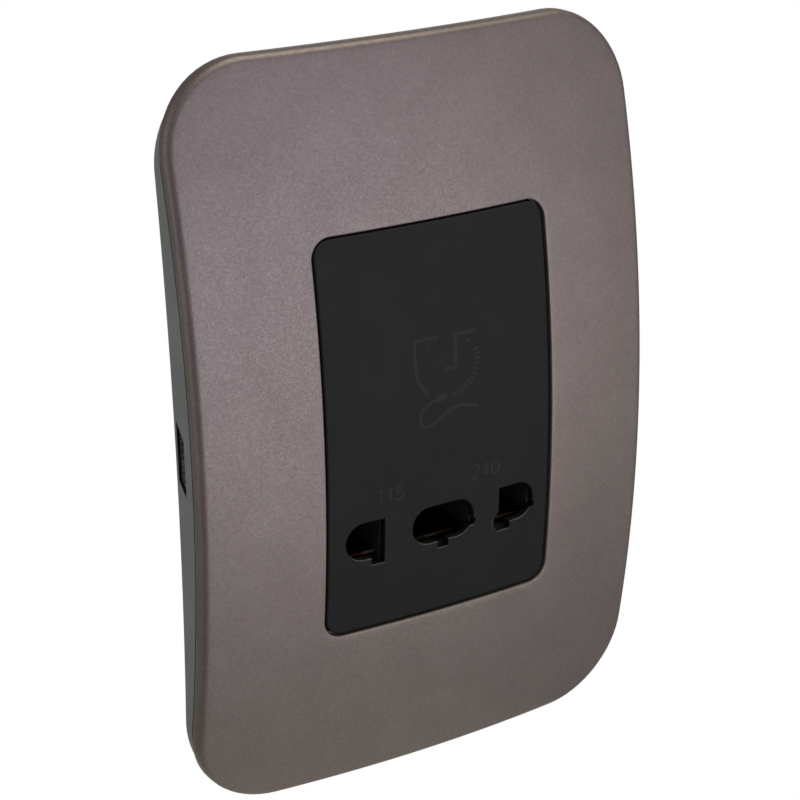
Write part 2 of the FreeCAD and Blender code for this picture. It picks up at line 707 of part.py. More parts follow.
def cutHoles(body, clear="0"):
    """The three pin holes: round outer ends, a blade notch below each, and small side tips."""
    top = f"(0 - Sizes.holeTop + {clear})"
    bottom = f"(0 - Sizes.holeBottom - {clear})"
    foot = "(0 - Sizes.notchBottom)"
    roundAt = "(Sizes.outerHoleFlat + Sizes.outerHoleStraight)"
    for side in (-1, 1):
        sketch = sketchOn(body, "XZ_Plane")
        circle(sketch, f"({holeHalf} + {clear})", f"({side} * {roundAt})", holeCentre)
        pocket(body, sketch, symmetric=True)
        sketch = sketchOn(body, "XZ_Plane")
        inner = f"({side} * (Sizes.outerHoleFlat - {clear}))"
        outer = f"({side} * {roundAt})"
        left, right = (inner, outer) if side > 0 else (outer, inner)
        rectangle(sketch, left, right, bottom, top)
        pocket(body, sketch, symmetric=True)
        sketch = sketchOn(body, "XZ_Plane")
        outer = f"({side} * (Sizes.outerHoleFlat + Sizes.outerNotchWidth))"
        left, right = (inner, outer) if side > 0 else (outer, inner)
        rectangle(sketch, left, right, foot, f"{bottom} + 1")
        pocket(body, sketch, symmetric=True)
    sketch = sketchOn(body, "XZ_Plane")
    roundedRectangle(
        sketch, f"(2 * Sizes.middleHoleHalf + 2 * {clear})", f"(2 * {holeHalf} + 2 * {clear})",
        f"({holeHalf} + {clear} - 0.05)", "0", holeCentre)
    pocket(body, sketch, symmetric=True)
    sketch = sketchOn(body, "XZ_Plane")
    rectangle(
        sketch, "0 - Sizes.middleNotchWidth / 2", "Sizes.middleNotchWidth / 2", foot, f"{bottom} + 1")
    pocket(body, sketch, symmetric=True)


def cutSlantTips(body):
    """Tips of the slanted blade slots, which show beside the middle and right holes."""
    bottom = "(0 - Sizes.holeBottom)"
    foot = "(0 - Sizes.notchBottom)"
    tips = [
        [
            ("Sizes.middleHoleHalf - 1.2", f"{bottom} + 1.3"),
            ("Sizes.middleHoleHalf + 0.2", f"{bottom} + 1.4"),
            ("Sizes.middleHoleHalf + 0.6", f"{bottom} + 2.3"),
            ("Sizes.middleHoleHalf - 0.2", f"{bottom} + 2.9"),
        ],
        [
            ("Sizes.outerHoleFlat + 0.3", foot),
            ("Sizes.outerHoleFlat + 0.3", f"{bottom} + 2.5"),
            ("Sizes.outerHoleFlat", f"{bottom} + 2.4"),
            ("Sizes.outerHoleFlat - 1.5", f"{bottom} + 0.5"),
            ("Sizes.outerHoleFlat - 0.2", foot),
        ],
        [
            ("Sizes.outerHoleFlat + Sizes.outerHoleStraight + 2", f"{bottom} + 1.5"),
            ("Sizes.outerHoleFlat + Sizes.outerHoleStraight + 3.5", f"{bottom} + 1.6"),
            ("Sizes.outerHoleFlat + Sizes.outerHoleStraight + 3.8", f"{bottom} + 2.4"),
            ("Sizes.outerHoleFlat + Sizes.outerHoleStraight + 3", f"{bottom} + 2.8"),
        ],
    ]
    for corners in tips:
        sketch = sketchOn(body, "XZ_Plane")
        polygon(sketch, corners)
        pocket(body, sketch, symmetric=True)


def postPlaces():
    """Centres of the four screw posts, as expressions for X and Z."""
    for side in (-1, 1):
        for end in (-1, 1):
            yield f"({side} * {postAcross})", f"(Sizes.windowRise + {end} * {postUp})"


def makeSocketFront():
    """Moulded front of the module: an arched wall with the pin holes, side walls and screw posts."""
    outer = newBody("frontOuter")
    sketch = sketchOn(outer, "XZ_Plane", frontRearDepth)
    roundedRectangle(sketch, frontWidth, frontHeight, frontCorner, "0", "Sizes.windowRise")
    pad(outer, sketch, "Sizes.faceDepth")
    faceCut(outer, frontDepth)
    halfWidth = value(frontWidth) / 2
    halfHeight = value(frontHeight) / 2 + value("Sizes.windowRise")
    rimDepth = value(f"{frontDepth} - Sizes.frontRimReach")
    roundEdges(outer, "Sizes.frontRim", lambda edge: isFrontRim(edge, halfWidth, halfHeight, rimDepth))
    cutHoles(outer)
    cutSlantTips(outer)
    holesHalf = value("Sizes.outerHoleFlat + Sizes.outerHoleStraight") + value(holeHalf) + 0.1
    holesTop = value("0.1 - Sizes.holeTop")

    def isHoleFront(edge):
        points = [edge.CenterOfMass, edge.valueAt(edge.FirstParameter), edge.valueAt(edge.LastParameter)]
        onFace = all(abs(point.y - faceAt(point.x, point.z, frontDepth)) < 0.02 for point in points)
        return onFace and all(abs(point.x) < holesHalf and point.z < holesTop for point in points)

    roundEdges(outer, "Sizes.holeRim", isHoleFront)
    hollow = newBody("frontHollow", severalSolids=True)
    sketch = sketchOn(hollow, "XZ_Plane", f"{frontRearDepth} - 1")
    roundedRectangle(
        sketch, frontInnerWidth, frontInnerHeight, frontInnerCorner, "0", "Sizes.windowRise")
    pad(hollow, sketch, "Sizes.faceDepth")
    faceCut(hollow, frontInnerDepth)
    for across, up in postPlaces():
        sketch = sketchOn(hollow, "XZ_Plane", "Sizes.housingFront + Sizes.postGap")
        circle(sketch, "Sizes.postRadius", across, up)
        circle(sketch, "Sizes.caseScrewRadius + 0.05", across, up)
        pocket(hollow, sketch, forwards=True)
    return cutAway("socket_front", outer, hollow)


def makeRearHousing():
    """Deep box behind the front, open towards it, with posts, wire entries and two snap hooks."""
    outer = newBody("housingOuter")
    sketch = sketchOn(outer, "XZ_Plane", "0 - Sizes.housingRear")
    roundedRectangle(sketch, housingWidth, housingHeight, housingCorner, "0", "Sizes.windowRise")
    pad(outer, sketch, "Sizes.housingRear + Sizes.housingFront")
    for end in (-1, 1):
        wall = f"(Sizes.windowRise + {end} * {housingHeight} / 2)"
        tip = f"({wall} + {end} * Sizes.hookHeight)"
        sketch = sketchOn(outer, "YZ_Plane", "0 - Sizes.hookHalf")
        corners = [
            ("Sizes.hookGap", f"{wall} - {end} * 0.5"),
            ("Sizes.hookGap", tip),
            ("Sizes.hookGap + 0.6", tip),
            ("Sizes.hookGap + Sizes.hookLength", f"{wall} - {end} * 0.5"),
        ]
        polygon(sketch, corners)
        pad(outer, sketch, "2 * Sizes.hookHalf")
    hollow = newBody("housingHollow")
    sketch = sketchOn(hollow, "XZ_Plane", f"0 - {housingFloor}")
    roundedRectangle(
        sketch,
        f"({housingWidth} - 2 * Sizes.housingWall)",
        f"({housingHeight} - 2 * Sizes.housingWall)",
        "1", "0", "Sizes.windowRise")
    pad(hollow, sketch, f"{housingFloor} + Sizes.housingFront + 1")
    for across, up in postPlaces():
        sketch = sketchOn(hollow, "XZ_Plane")
        circle(sketch, "Sizes.postRadius", across, up)
        pocket(hollow, sketch, symmetric=True)
    shell = cutAway("housingShell", outer, hollow)
    bores = newBody("housingBores", severalSolids=True)
    headPocket = "(Sizes.caseScrewHeadHeight + 0.3)"
    for across, up in postPlaces():
        sketch = sketchOn(bores, "XZ_Plane", "0 - Sizes.housingRear - 1")
        circle(sketch, "Sizes.caseScrewRadius + Sizes.screwClearance", across, up)
        pad(bores, sketch, "Sizes.housingRear + Sizes.housingFront + 2")
        sketch = sketchOn(bores, "XZ_Plane", "0 - Sizes.housingRear - 1")
        circle(sketch, "Sizes.caseScrewHead + Sizes.screwClearance", across, up)
        pad(bores, sketch, f"{headPocket} + 1")
    for place in (-1, 0, 1):
        across = f"({place} * {terminalPitch})"
        sketch = sketchOn(bores, "XZ_Plane", "0 - Sizes.housingRear - 1")
        circle(sketch, "Sizes.wireEntryRadius", across, negative(wireBoreZ))
        pad(bores, sketch, "Sizes.housingRearWall + 2")
        sketch = sketchOn(bores, "XY_Plane", f"Sizes.windowRise - {housingHeight} / 2 - 1")
        circle(sketch, "Sizes.screwEntryRadius", across, "Sizes.terminalY")
        pad(bores, sketch, "Sizes.housingWall + 2")
    return cutAway("rear_housing", shell, bores)


def makeHousingScrews():
    """Four long self-tapping screws that hold the housing to the front."""
    body = newBody("housing_screws", severalSolids=True)
    seat = "(Sizes.housingRear - Sizes.caseScrewHeadHeight - 0.3)"
    top = f"({seat} + Sizes.caseScrewHeadHeight)"
    tip = "(0 - Sizes.housingFront - Sizes.caseScrewGrip)"
    for across, up in postPlaces():
        turned(body, "XY_Plane", up, across, [
            ("0", tip),
            ("Sizes.caseScrewRadius - 0.8", tip),
            ("Sizes.caseScrewRadius", f"{tip} + 1.2"),
            ("Sizes.caseScrewRadius", seat),
            ("Sizes.caseScrewHead", seat),
            ("Sizes.caseScrewHead", f"{top} - 0.5"),
            ("Sizes.caseScrewHead - 0.6", top),
            ("0", top),
        ])
    for across, up in postPlaces():
        sketch = sketchOn(body, "XZ_Plane", f"0.8 - {top}")
        rectangle(sketch, f"{across} - 1.6", f"{across} + 1.6", f"{up} - 0.35", f"{up} + 0.35")
        pocket(body, sketch, "2")
        sketch = sketchOn(body, "XZ_Plane", f"0.8 - {top}")
        rectangle(sketch, f"{across} - 0.35", f"{across} + 0.35", f"{up} - 1.6", f"{up} + 1.6")
        pocket(body, sketch, "2")
    return body


def contactPlaces():
    """Name, centre and width of each contact, from left to right."""
    return [
        ("contact_left", negative(outerContactAt), outerContactWidth),
        ("contact_middle", "0", "Sizes.middleContactWidth"),
        ("contact_right", outerContactAt, outerContactWidth),
    ]


def makeContactCarrier():
    """Block clamped between front and housing, with a deep cavity behind each hole."""
    body = newBody("contact_carrier")
    sketch = sketchOn(body, "XZ_Plane", "Sizes.housingFront + Sizes.carrierGap")
    rectangle(
        sketch, negative(carrierHalf), carrierHalf,
        "0 - Sizes.carrierBottom", "0 - Sizes.carrierTop")
    pad(body, sketch, "Sizes.faceDepth")
    faceCut(body, f"({frontInnerDepth} - Sizes.carrierGap)")
    sketch = sketchOn(body, "XZ_Plane", "0 - Sizes.carrierRear")
    rectangle(
        sketch, negative(carrierRearHalf), carrierRearHalf,
        "0 - Sizes.carrierBottom", "0 - Sizes.carrierTop")
    pad(body, sketch, "Sizes.carrierRear + Sizes.housingFront + Sizes.carrierGap + 1")
    floor = "(Sizes.carrierRear - Sizes.carrierWall)"
    cavityTop = "(0 - Sizes.holeTop + Sizes.cavityClear)"
    cavityBottom = "(0 - Sizes.notchBottom - 0.2)"
    for name, middle, width in contactPlaces():
        half = f"({width} / 2 + Sizes.cavitySide)"
        sketch = sketchOn(body, "XZ_Plane", f"0 - {floor}")
        rectangle(sketch, f"{middle} - {half}", f"{middle} + {half}", cavityBottom, cavityTop)
        pocket(body, sketch, forwards=True)
        sketch = sketchOn(body, "XZ_Plane")
        slot = "(Sizes.tagWidth / 2 + Sizes.tagGap)"
        rise = "(Sizes.contactThick / 2 + Sizes.tagGap)"
        rectangle(
            sketch, f"{middle} - {slot}", f"{middle} + {slot}",
            f"{holeCentre} - {rise}", f"{holeCentre} + {rise}")
        pocket(body, sketch)
    return body


def makeContact(label, middle, width):
    """Spring contact: a U of bronze strip whose two leaves close on the pin, with a solder tag behind."""
    body = newBody(label)
    thick = "Sizes.contactThick"
    mouth = negative(contactFront)
    throat = "(0 - Sizes.contactThroatAt)"
    upper = [
        (contactRear, f"(Sizes.contactRoot + {thick})"),
        (throat, f"(Sizes.contactThroat + {thick})"),
        (mouth, f"(Sizes.contactMouth + {thick})"),
        (mouth, "Sizes.contactMouth"),
        (throat, "Sizes.contactThroat"),
        (f"({contactRear} - {thick})", "Sizes.contactRoot"),
    ]
    corners = [(along, f"{holeCentre} + {up}") for along, up in upper]
    corners += [(along, f"{holeCentre} - {up}") for along, up in reversed(upper)]
    sketch = sketchOn(body, "YZ_Plane", middle)
    polygon(sketch, corners)
    pad(body, sketch, width, symmetric=True)
    sketch = sketchOn(body, "XZ_Plane", f"0 - {contactRear} - Sizes.tagLength")
    rectangle(
        sketch, f"{middle} - Sizes.tagWidth / 2", f"{middle} + Sizes.tagWidth / 2",
        f"{holeCentre} - {thick} / 2", f"{holeCentre} + {thick} / 2")
    pad(body, sketch, f"Sizes.tagLength + {thick} / 2")
    return body


def makeCore():
    """Laminated core: the E part with its back on top, and the I part that closes it below."""
    halfLong = coreHalf
    middle = coreAcross
    window = f"({coreHalf} - 2 * Sizes.coreLimb)"
    back = newBody("core_e_stack")
    sketch = sketchOn(back, "YZ_Plane")
    polygon(sketch, [
        (f"{middle} - {halfLong}", limbEnd),
        (f"{middle} - {halfLong}", coreTop),
        (f"{middle} + {halfLong}", coreTop),
        (f"{middle} + {halfLong}", limbEnd),
        (f"{middle} + {halfLong} - Sizes.coreLimb", limbEnd),
        (f"{middle} + {halfLong} - Sizes.coreLimb", windowTop),
        (f"{middle} + {window}", windowTop),
        (f"{middle} + {window}", limbEnd),
        (f"{middle} - {window}", limbEnd),
        (f"{middle} - {window}", windowTop),
        (f"{middle} - {halfLong} + Sizes.coreLimb", windowTop),
        (f"{middle} - {halfLong} + Sizes.coreLimb", limbEnd),
    ])
    pad(back, sketch, "Sizes.coreStack", symmetric=True)
    closing = newBody("core_i_stack")
    sketch = sketchOn(closing, "YZ_Plane")
    rectangle(sketch, f"{middle} - {halfLong}", f"{middle} + {halfLong}", coreBottom, limbEnd)
    pad(closing, sketch, "Sizes.coreStack", symmetric=True)
    return [back, closing]


def makeBracket():
    """Steel strap bent round the top, rear and bottom of the core."""
    body = newBody("core_bracket")
    gap = "Sizes.bracketGap"
    outside = "(Sizes.bracketGap + Sizes.bracketThick)"
    front = "(1 - Sizes.coreFront)"
    rear = coreRear
    sketch = sketchOn(body, "YZ_Plane")
    polygon(sketch, [
        (front, f"{coreTop} + {gap}"),
        (f"{rear} + {gap}", f"{coreTop} + {gap}"),
        (f"{rear} + {gap}", f"{coreBottom} - {gap}"),
        (front, f"{coreBottom} - {gap}"),
        (front, f"{coreBottom} - {outside}"),
        (f"{rear} + {outside}", f"{coreBottom} - {outside}"),
        (f"{rear} + {outside}", f"{coreTop} + {outside}"),
        (front, f"{coreTop} + {outside}"),
    ])
    pad(body, sketch, "Sizes.bracketWidth", symmetric=True)
    return body


bobbinBottom = f"({limbEnd} + Sizes.bobbinEndGap)"
bobbinTop = f"({windowTop} - Sizes.bobbinEndGap)"
bobbinMiddle = f"(({bobbinBottom} + {bobbinTop}) / 2)"


def makeBobbin():
    """Two-chamber bobbin: a square tube over the middle limb and three flanges."""
    body = newBody("transformer_bobbin")
    tubeWidth = "(Sizes.coreStack + 2 * Sizes.bobbinGap)"
    tubeDepth = f"(2 * {coreHalf} - 4 * Sizes.coreLimb + 2 * Sizes.bobbinGap)"
    sketch = sketchOn(body, "XY_Plane", bobbinBottom)
    roundedRectangle(
        sketch, f"({tubeWidth} + 2 * Sizes.bobbinWall)", f"({tubeDepth} + 2 * Sizes.bobbinWall)",
        "Sizes.bobbinWall", "0", coreAcross)
    pad(body, sketch, f"{bobbinTop} - {bobbinBottom}")
    flangeStarts = [
        bobbinBottom,
        f"({bobbinMiddle} - Sizes.bobbinWall / 2)",
        f"({bobbinTop} - Sizes.bobbinWall)",
    ]
    for start in flangeStarts:
        sketch = sketchOn(body, "XY_Plane", start)
        roundedRectangle(
            sketch, f"(2 * {bobbinHalfWidth})", f"(2 * {bobbinHalfDepth})", "1.5",
            "0", coreAcross)
        pad(body, sketch, "Sizes.bobbinWall")
    sketch = sketchOn(body, "XY_Plane")
    half = f"({tubeWidth} / 2)"
    rectangle(
        sketch, negative(half), half,
        f"{coreAcross} - {tubeDepth} / 2", f"{coreAcross} + {tubeDepth} / 2")
    pocket(body, sketch, symmetric=True)
    return body


def windingRing(body, start, end, halfWidth, halfDepth, corner, boreHalfWidth, boreHalfDepth, boreCorner):
    sketch = sketchOn(body, "XY_Plane", start)
    roundedRectangle(
        sketch, f"(2 * {halfWidth})", f"(2 * {halfDepth})", corner, "0", coreAcross)
    roundedRectangle(
        sketch, f"(2 * {boreHalfWidth})", f"(2 * {boreHalfDepth})", boreCorner,
        "0", coreAcross)
    pad(body, sketch, f"{end} - {start}")


def makeWindings():
    """Mains winding in the lower chamber, shaver winding in the upper one, each under a tape wrap."""
    boreWidth = "(Sizes.coreStack / 2 + Sizes.bobbinGap + Sizes.bobbinWall + Sizes.windingGap)"
    boreDepth = f"({coreHalf} - 2 * Sizes.coreLimb + Sizes.bobbinGap + Sizes.bobbinWall + Sizes.windingGap)"
    boreCorner = "(Sizes.bobbinWall + Sizes.windingGap)"
    chambers = [
        (f"({bobbinBottom} + Sizes.bobbinWall + Sizes.windingGap)",
         f"({bobbinMiddle} - Sizes.bobbinWall / 2 - Sizes.windingGap)"),
        (f"({bobbinMiddle} + Sizes.bobbinWall / 2 + Sizes.windingGap)",
         f"({bobbinTop} - Sizes.bobbinWall - Sizes.windingGap)"),
    ]
    made = []
    for label, (start, end) in zip(("primary_winding", "secondary_winding"), chambers):
        body = newBody(label)
        windingRing(
            body, start, end, windingHalfWidth, windingHalfDepth,
            "Sizes.windingCorner", boreWidth, boreDepth, boreCorner)
        made.append(body)
    tape = newBody("winding_tape", severalSolids=True)
    innerWidth = f"({windingHalfWidth} + Sizes.windingGap)"
    innerDepth = f"({windingHalfDepth} + Sizes.windingGap)"
    for start, end in chambers:
        windingRing(
            tape, start, end, f"({innerWidth} + Sizes.tapeThick)", f"({innerDepth} + Sizes.tapeThick)",
            "(Sizes.windingCorner + Sizes.windingGap + Sizes.tapeThick)",
            innerWidth, innerDepth, "(Sizes.windingCorner + Sizes.windingGap)")
    made.append(tape)
    return made


primaryPins = [
    f"(Sizes.livePinInset - {bobbinHalfWidth})",
    f"({bobbinHalfWidth} - Sizes.linkPinInset)",
]
secondaryPins = [
    f"(Sizes.leftPinInset - {bobbinHalfWidth})",
    "(Sizes.coreStack / 2 + Sizes.middlePinOut)",
    f"({bobbinHalfWidth} - Sizes.rightPinInset)",
]
primaryPinHeight = f"({bobbinBottom} + Sizes.bobbinWall / 2)"
secondaryPinHeight = f"({bobbinTop} - Sizes.bobbinWall / 2)"
rearPinTip = f"({coreAcross} + {bobbinHalfDepth} + Sizes.pinLength)"


def makePins():
    """Brass wire pins in the flanges: two behind for the mains, three in front for the outlets."""
    body = newBody("bobbin_pins", severalSolids=True)
    for across in primaryPins:
        sketch = sketchOn(body, "XZ_Plane", negative(rearPinTip))
        circle(sketch, "Sizes.pinRadius", across, primaryPinHeight)
        pad(body, sketch, "Sizes.pinLength")
    for across in secondaryPins:
        start = f"({coreAcross} - {bobbinHalfDepth})"
        sketch = sketchOn(body, "XZ_Plane", negative(start))
        circle(sketch, "Sizes.pinRadius", across, secondaryPinHeight)
        pad(body, sketch, "Sizes.pinLength")
    return body


cutoutLeft = "(Sizes.coreStack / 2 + Sizes.cutoutCoreGap)"
cutoutWidth = f"({bobbinHalfWidth} - {cutoutLeft} - Sizes.cutoutInset)"
cutoutTop = f"({bobbinBottom} - Sizes.cutoutGap)"
cutoutRear = f"({coreAcross} + {bobbinHalfDepth} - Sizes.cutoutRearInset)"


def makeThermalCutout():
    """Self-resetting thermal cut-out against the winding's lower flange, in the mains side."""
    body = newBody("thermal_cutout")
    sketch = sketchOn(body, "XY_Plane", f"{cutoutTop} - Sizes.cutoutHeight")
    roundedRectangle(
        sketch, cutoutWidth, "Sizes.cutoutLength", "0.8",
        f"({cutoutLeft} + {cutoutWidth} / 2)", f"({cutoutRear} - Sizes.cutoutLength / 2)")
    pad(body, sketch, "Sizes.cutoutHeight")
    return body


blockRear = f"({housingFloor} - Sizes.blockRearGap)"
clampTop = f"(Sizes.clampHeight - {clampBottom})"


def makeTerminalBlock():
    """Insulating block with three cavities open to the rear, for the mains and earth terminals."""
    body = newBody("terminal_block")
    sketch = sketchOn(body, "XZ_Plane", negative(blockRear))
    rectangle(sketch, negative(blockHalf), blockHalf, negative(blockBottom), negative(blockTop))
    pad(body, sketch, f"{blockRear} - Sizes.blockFront")
    for place in (-1, 0, 1):
        middle = f"({place} * {terminalPitch})"
        half = f"({clampWidth} / 2 + Sizes.clampGap)"
        sketch = sketchOn(body, "XZ_Plane", negative(blockRear))
        rectangle(
            sketch, f"{middle} - {half}", f"{middle} + {half}",
            f"0 - {clampBottom} - Sizes.clampGap", f"{clampTop} + Sizes.clampGap")
        depth = f"{blockRear} - Sizes.terminalY + Sizes.clampLength / 2 + Sizes.clampGap"
        pocket(body, sketch, depth, forwards=True)
        sketch = sketchOn(body, "XY_Plane", negative(clampBottom))
        circle(sketch, "Sizes.terminalScrewHead + 0.2", middle, "Sizes.terminalY")
        pocket(body, sketch)
        sketch = sketchOn(body, "XY_Plane", clampTop)
        half = "(Sizes.strapWidth / 2 + Sizes.clampGap)"
        rectangle(
            sketch, f"{middle} - {half}", f"{middle} + {half}",
            "Sizes.terminalY - 1.2", "Sizes.terminalY + 1.2")
        pocket(body, sketch, forwards=True)
    return body


def makeClamps():
    """Three brass tunnel clamps with a wire bore from the rear and a screw hole from below."""
    body = newBody("terminal_clamps", severalSolids=True)
    for place in (-1, 0, 1):
        middle = f"({place} * {terminalPitch})"
        sketch = sketchOn(body, "XZ_Plane", "0 - Sizes.terminalY - Sizes.clampLength / 2")
        rectangle(
            sketch, f"{middle} - {clampWidth} / 2", f"{middle} + {clampWidth} / 2",
            negative(clampBottom), clampTop)
        pad(body, sketch, "Sizes.clampLength")
    for place in (-1, 0, 1):
        middle = f"({place} * {terminalPitch})"
        sketch = sketchOn(body, "XZ_Plane")
        circle(sketch, "Sizes.wireBoreRadius", middle, negative(wireBoreZ))
        pocket(body, sketch, symmetric=True)
        sketch = sketchOn(body, "XY_Plane", negative(wireBoreZ))
        circle(sketch, "Sizes.terminalScrewRadius + 0.05", middle, "Sizes.terminalY")
        pocket(body, sketch)
    return body


def makeTerminalScrews():
    """Three slotted clamp screws, turned from below."""
    body = newBody("terminal_screws", severalSolids=True)
    shoulder = f"(0 - {clampBottom} - 0.3)"
    head = f"({shoulder} - Sizes.terminalScrewHeadHeight)"
    tip = f"(0 - {wireBoreZ} - Sizes.wireBoreRadius + 0.3)"
    for place in (-1, 0, 1):
        turned(body, "XZ_Plane", "0 - Sizes.terminalY", f"({place} * {terminalPitch})", [
            ("0", head),
            ("Sizes.terminalScrewHead", head),
            ("Sizes.terminalScrewHead", shoulder),
            ("Sizes.terminalScrewRadius", shoulder),
            ("Sizes.terminalScrewRadius", tip),
            ("0", tip),
        ])
    for place in (-1, 0, 1):
        middle = f"({place} * {terminalPitch})"
        sketch = sketchOn(body, "XY_Plane", f"{head} + 0.6")
        rectangle(
            sketch, f"{middle} - Sizes.terminalScrewHead - 1", f"{middle} + Sizes.terminalScrewHead + 1",
            "Sizes.terminalY - 0.4", "Sizes.terminalY + 0.4")
        pocket(body, sketch, "2")
    return body


def makeEarthStrap():
    """Brass strap from the middle clamp up to the core bracket, with a foot along the bracket."""
    body = newBody("earth_strap")
    bracketUnder = f"({coreBottom} - Sizes.bracketGap - Sizes.bracketThick)"
    half = "(Sizes.strapThick / 2)"
    sketch = sketchOn(body, "YZ_Plane")
    polygon(sketch, [
        (f"Sizes.terminalY - {half}", clampTop),
        (f"Sizes.terminalY + {half}", clampTop),
        (f"Sizes.terminalY + {half}", bracketUnder),
        ("Sizes.terminalY - Sizes.strapFoot", bracketUnder),
        ("Sizes.terminalY - Sizes.strapFoot", f"{bracketUnder} - Sizes.strapThick"),
        (f"Sizes.terminalY - {half}", f"{bracketUnder} - Sizes.strapThick"),
    ])
    pad(body, sketch, "Sizes.strapWidth", symmetric=True)
    return body


def makeLeads():
    """Insulated leads: terminals to the mains pins through the cut-out, and contacts to the outlet pins."""
    pinGap = "(Sizes.pinRadius + Sizes.pinLeadGap)"
    pinUnder = f"({primaryPinHeight} - {pinGap})"
    pinY = f"({coreAcross} + {bobbinHalfDepth} + Sizes.pinLength / 2)"
    start = f"({clampTop} + Sizes.leadSeatGap)"
    cutoutBack = f"({cutoutRear} + Sizes.leadSeatGap)"
    cutoutMiddle = f"({cutoutTop} - Sizes.cutoutHeight / 2)"
    neutralAcross = f"((Sizes.coreStack / 2 + {primaryPins[1]}) / 2 - Sizes.neutralShift)"
    neutralY = "(Sizes.terminalY + Sizes.neutralBack)"
    liveLead = leadSolid([
        (negative(terminalPitch), "Sizes.terminalY", start),
        (negative(terminalPitch), "Sizes.terminalY", f"({clampTop} + Sizes.liveTurn)"),
        (primaryPins[0], pinY, f"({clampTop} + Sizes.liveRise)"),
        (primaryPins[0], pinY, pinUnder),
    ])
    neutralLead = leadSolid([
        (terminalPitch, "Sizes.terminalY", start),
        (terminalPitch, "Sizes.terminalY", f"({clampTop} + Sizes.neutralTurn)"),
        (neutralAcross, neutralY, f"({clampTop} + Sizes.neutralRise)"),
        (neutralAcross, neutralY, cutoutMiddle),
        (neutralAcross, cutoutBack, cutoutMiddle),
    ])
    linkLead = leadSolid([
        (primaryPins[1], cutoutBack, cutoutMiddle),
        (primaryPins[1], pinY, cutoutMiddle),
        (primaryPins[1], pinY, pinUnder),
    ])
    primary = plainFeature("primary_leads", [liveLead, neutralLead, linkLead])
    tagY = f"({contactRear} + Sizes.tagLength - Sizes.tagJoin)"
    tagTop = f"({holeCentre} + Sizes.contactThick / 2 + Sizes.leadSeatGap)"
    frontPinY = f"({coreAcross} - {bobbinHalfDepth} - Sizes.pinLength / 2)"
    pinBelow = f"({secondaryPinHeight} - {pinGap})"
    outletTurn = "(Sizes.outletTurn - Sizes.carrierTop)"
    outletRise = "(Sizes.outletRise - Sizes.carrierTop)"
    leftLead = leadSolid([
        (negative(outerContactAt), tagY, tagTop),
        (negative(outerContactAt), tagY, outletTurn),
        (secondaryPins[0], frontPinY, outletRise),
        (secondaryPins[0], frontPinY, pinBelow),
    ])
    rightLead = leadSolid([
        (outerContactAt, tagY, tagTop),
        (outerContactAt, tagY, outletTurn),
        (secondaryPins[2], frontPinY, outletRise),
        (secondaryPins[2], frontPinY, pinBelow),
    ])
    middleAcross = "(Sizes.coreStack / 2 + Sizes.middleShift)"
    middleTurn = f"({tagTop} + Sizes.middleTurn)"
    middleLead = leadSolid([
        ("0", tagY, tagTop),
        ("0", tagY, middleTurn),
        (middleAcross, tagY, middleTurn),
        (middleAcross, tagY, "(Sizes.middleStep - Sizes.carrierTop)"),
        (secondaryPins[1], frontPinY, outletRise),
        (secondaryPins[1], frontPinY, pinBelow),
    ])
    secondary = plainFeature("secondary_leads", [leftLead, middleLead, rightLead])
    return [primary, secondary]


def makeLabel():
    """Plain film label on the left side of the housing."""
    body = newBody("rating_label")
    sketch = sketchOn(body, "YZ_Plane", f"0 - {housingWidth} / 2 - Sizes.labelThick")
    roundedRectangle(
        sketch, "Sizes.labelWidth", "Sizes.labelHeight", "1.5",
        "Sizes.labelDepth", "Sizes.windowRise")
    pad(body, sketch, "Sizes.labelThick")
    return body


nodes = [
    makeCoverPlate(),
    makeBaseFrame(),
    makeSocketFront(),
    makeRearHousing(),
    makeHousingScrews(),
    makeContactCarrier(),
]
nodes += [makeContact(*place) for place in contactPlaces()]
nodes += makeCore()
nodes += [makeBracket(), makeBobbin()]
nodes += makeWindings()
nodes += [makePins(), makeThermalCutout(), makeTerminalBlock(), makeClamps(), makeTerminalScrews()]
nodes += [makeEarthStrap()]
nodes += makeLeads()
nodes += [makeLabel()]
doc.recompute()

faults = [item.Label for item in doc.Objects if {"Invalid", "Error"} & set(item.State)]
faults += [node.Label for node in nodes if node.Shape.isNull() or not node.Shape.isValid()]
if faults or idleCuts:
    raise RuntimeError(f"failed: {faults}, cuts that took nothing: {idleCuts}")
for node in nodes:
    box = node.Shape.BoundBox
    print(node.Label, len(node.Shape.Solids), round(node.Shape.Volume, 1),
          [round(number, 2) for number in (box.XMin, box.XMax, box.YMin, box.YMax, box.ZMin, box.ZMax)])
    node.Shape.exportStep(f"parts/{node.Label}.step")
print(len(nodes), "nodes")
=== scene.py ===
import math

import bpy
import numpy as np
from mathutils import Matrix, Vector


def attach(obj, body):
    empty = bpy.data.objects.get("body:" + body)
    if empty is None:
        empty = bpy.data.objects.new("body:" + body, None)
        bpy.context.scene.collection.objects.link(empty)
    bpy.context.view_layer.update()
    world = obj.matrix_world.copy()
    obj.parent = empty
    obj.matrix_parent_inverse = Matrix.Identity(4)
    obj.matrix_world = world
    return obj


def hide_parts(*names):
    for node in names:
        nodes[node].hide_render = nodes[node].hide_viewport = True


# Shaver socket. Metres, +Z up, front towards -Y, origin on the wall behind the plate.

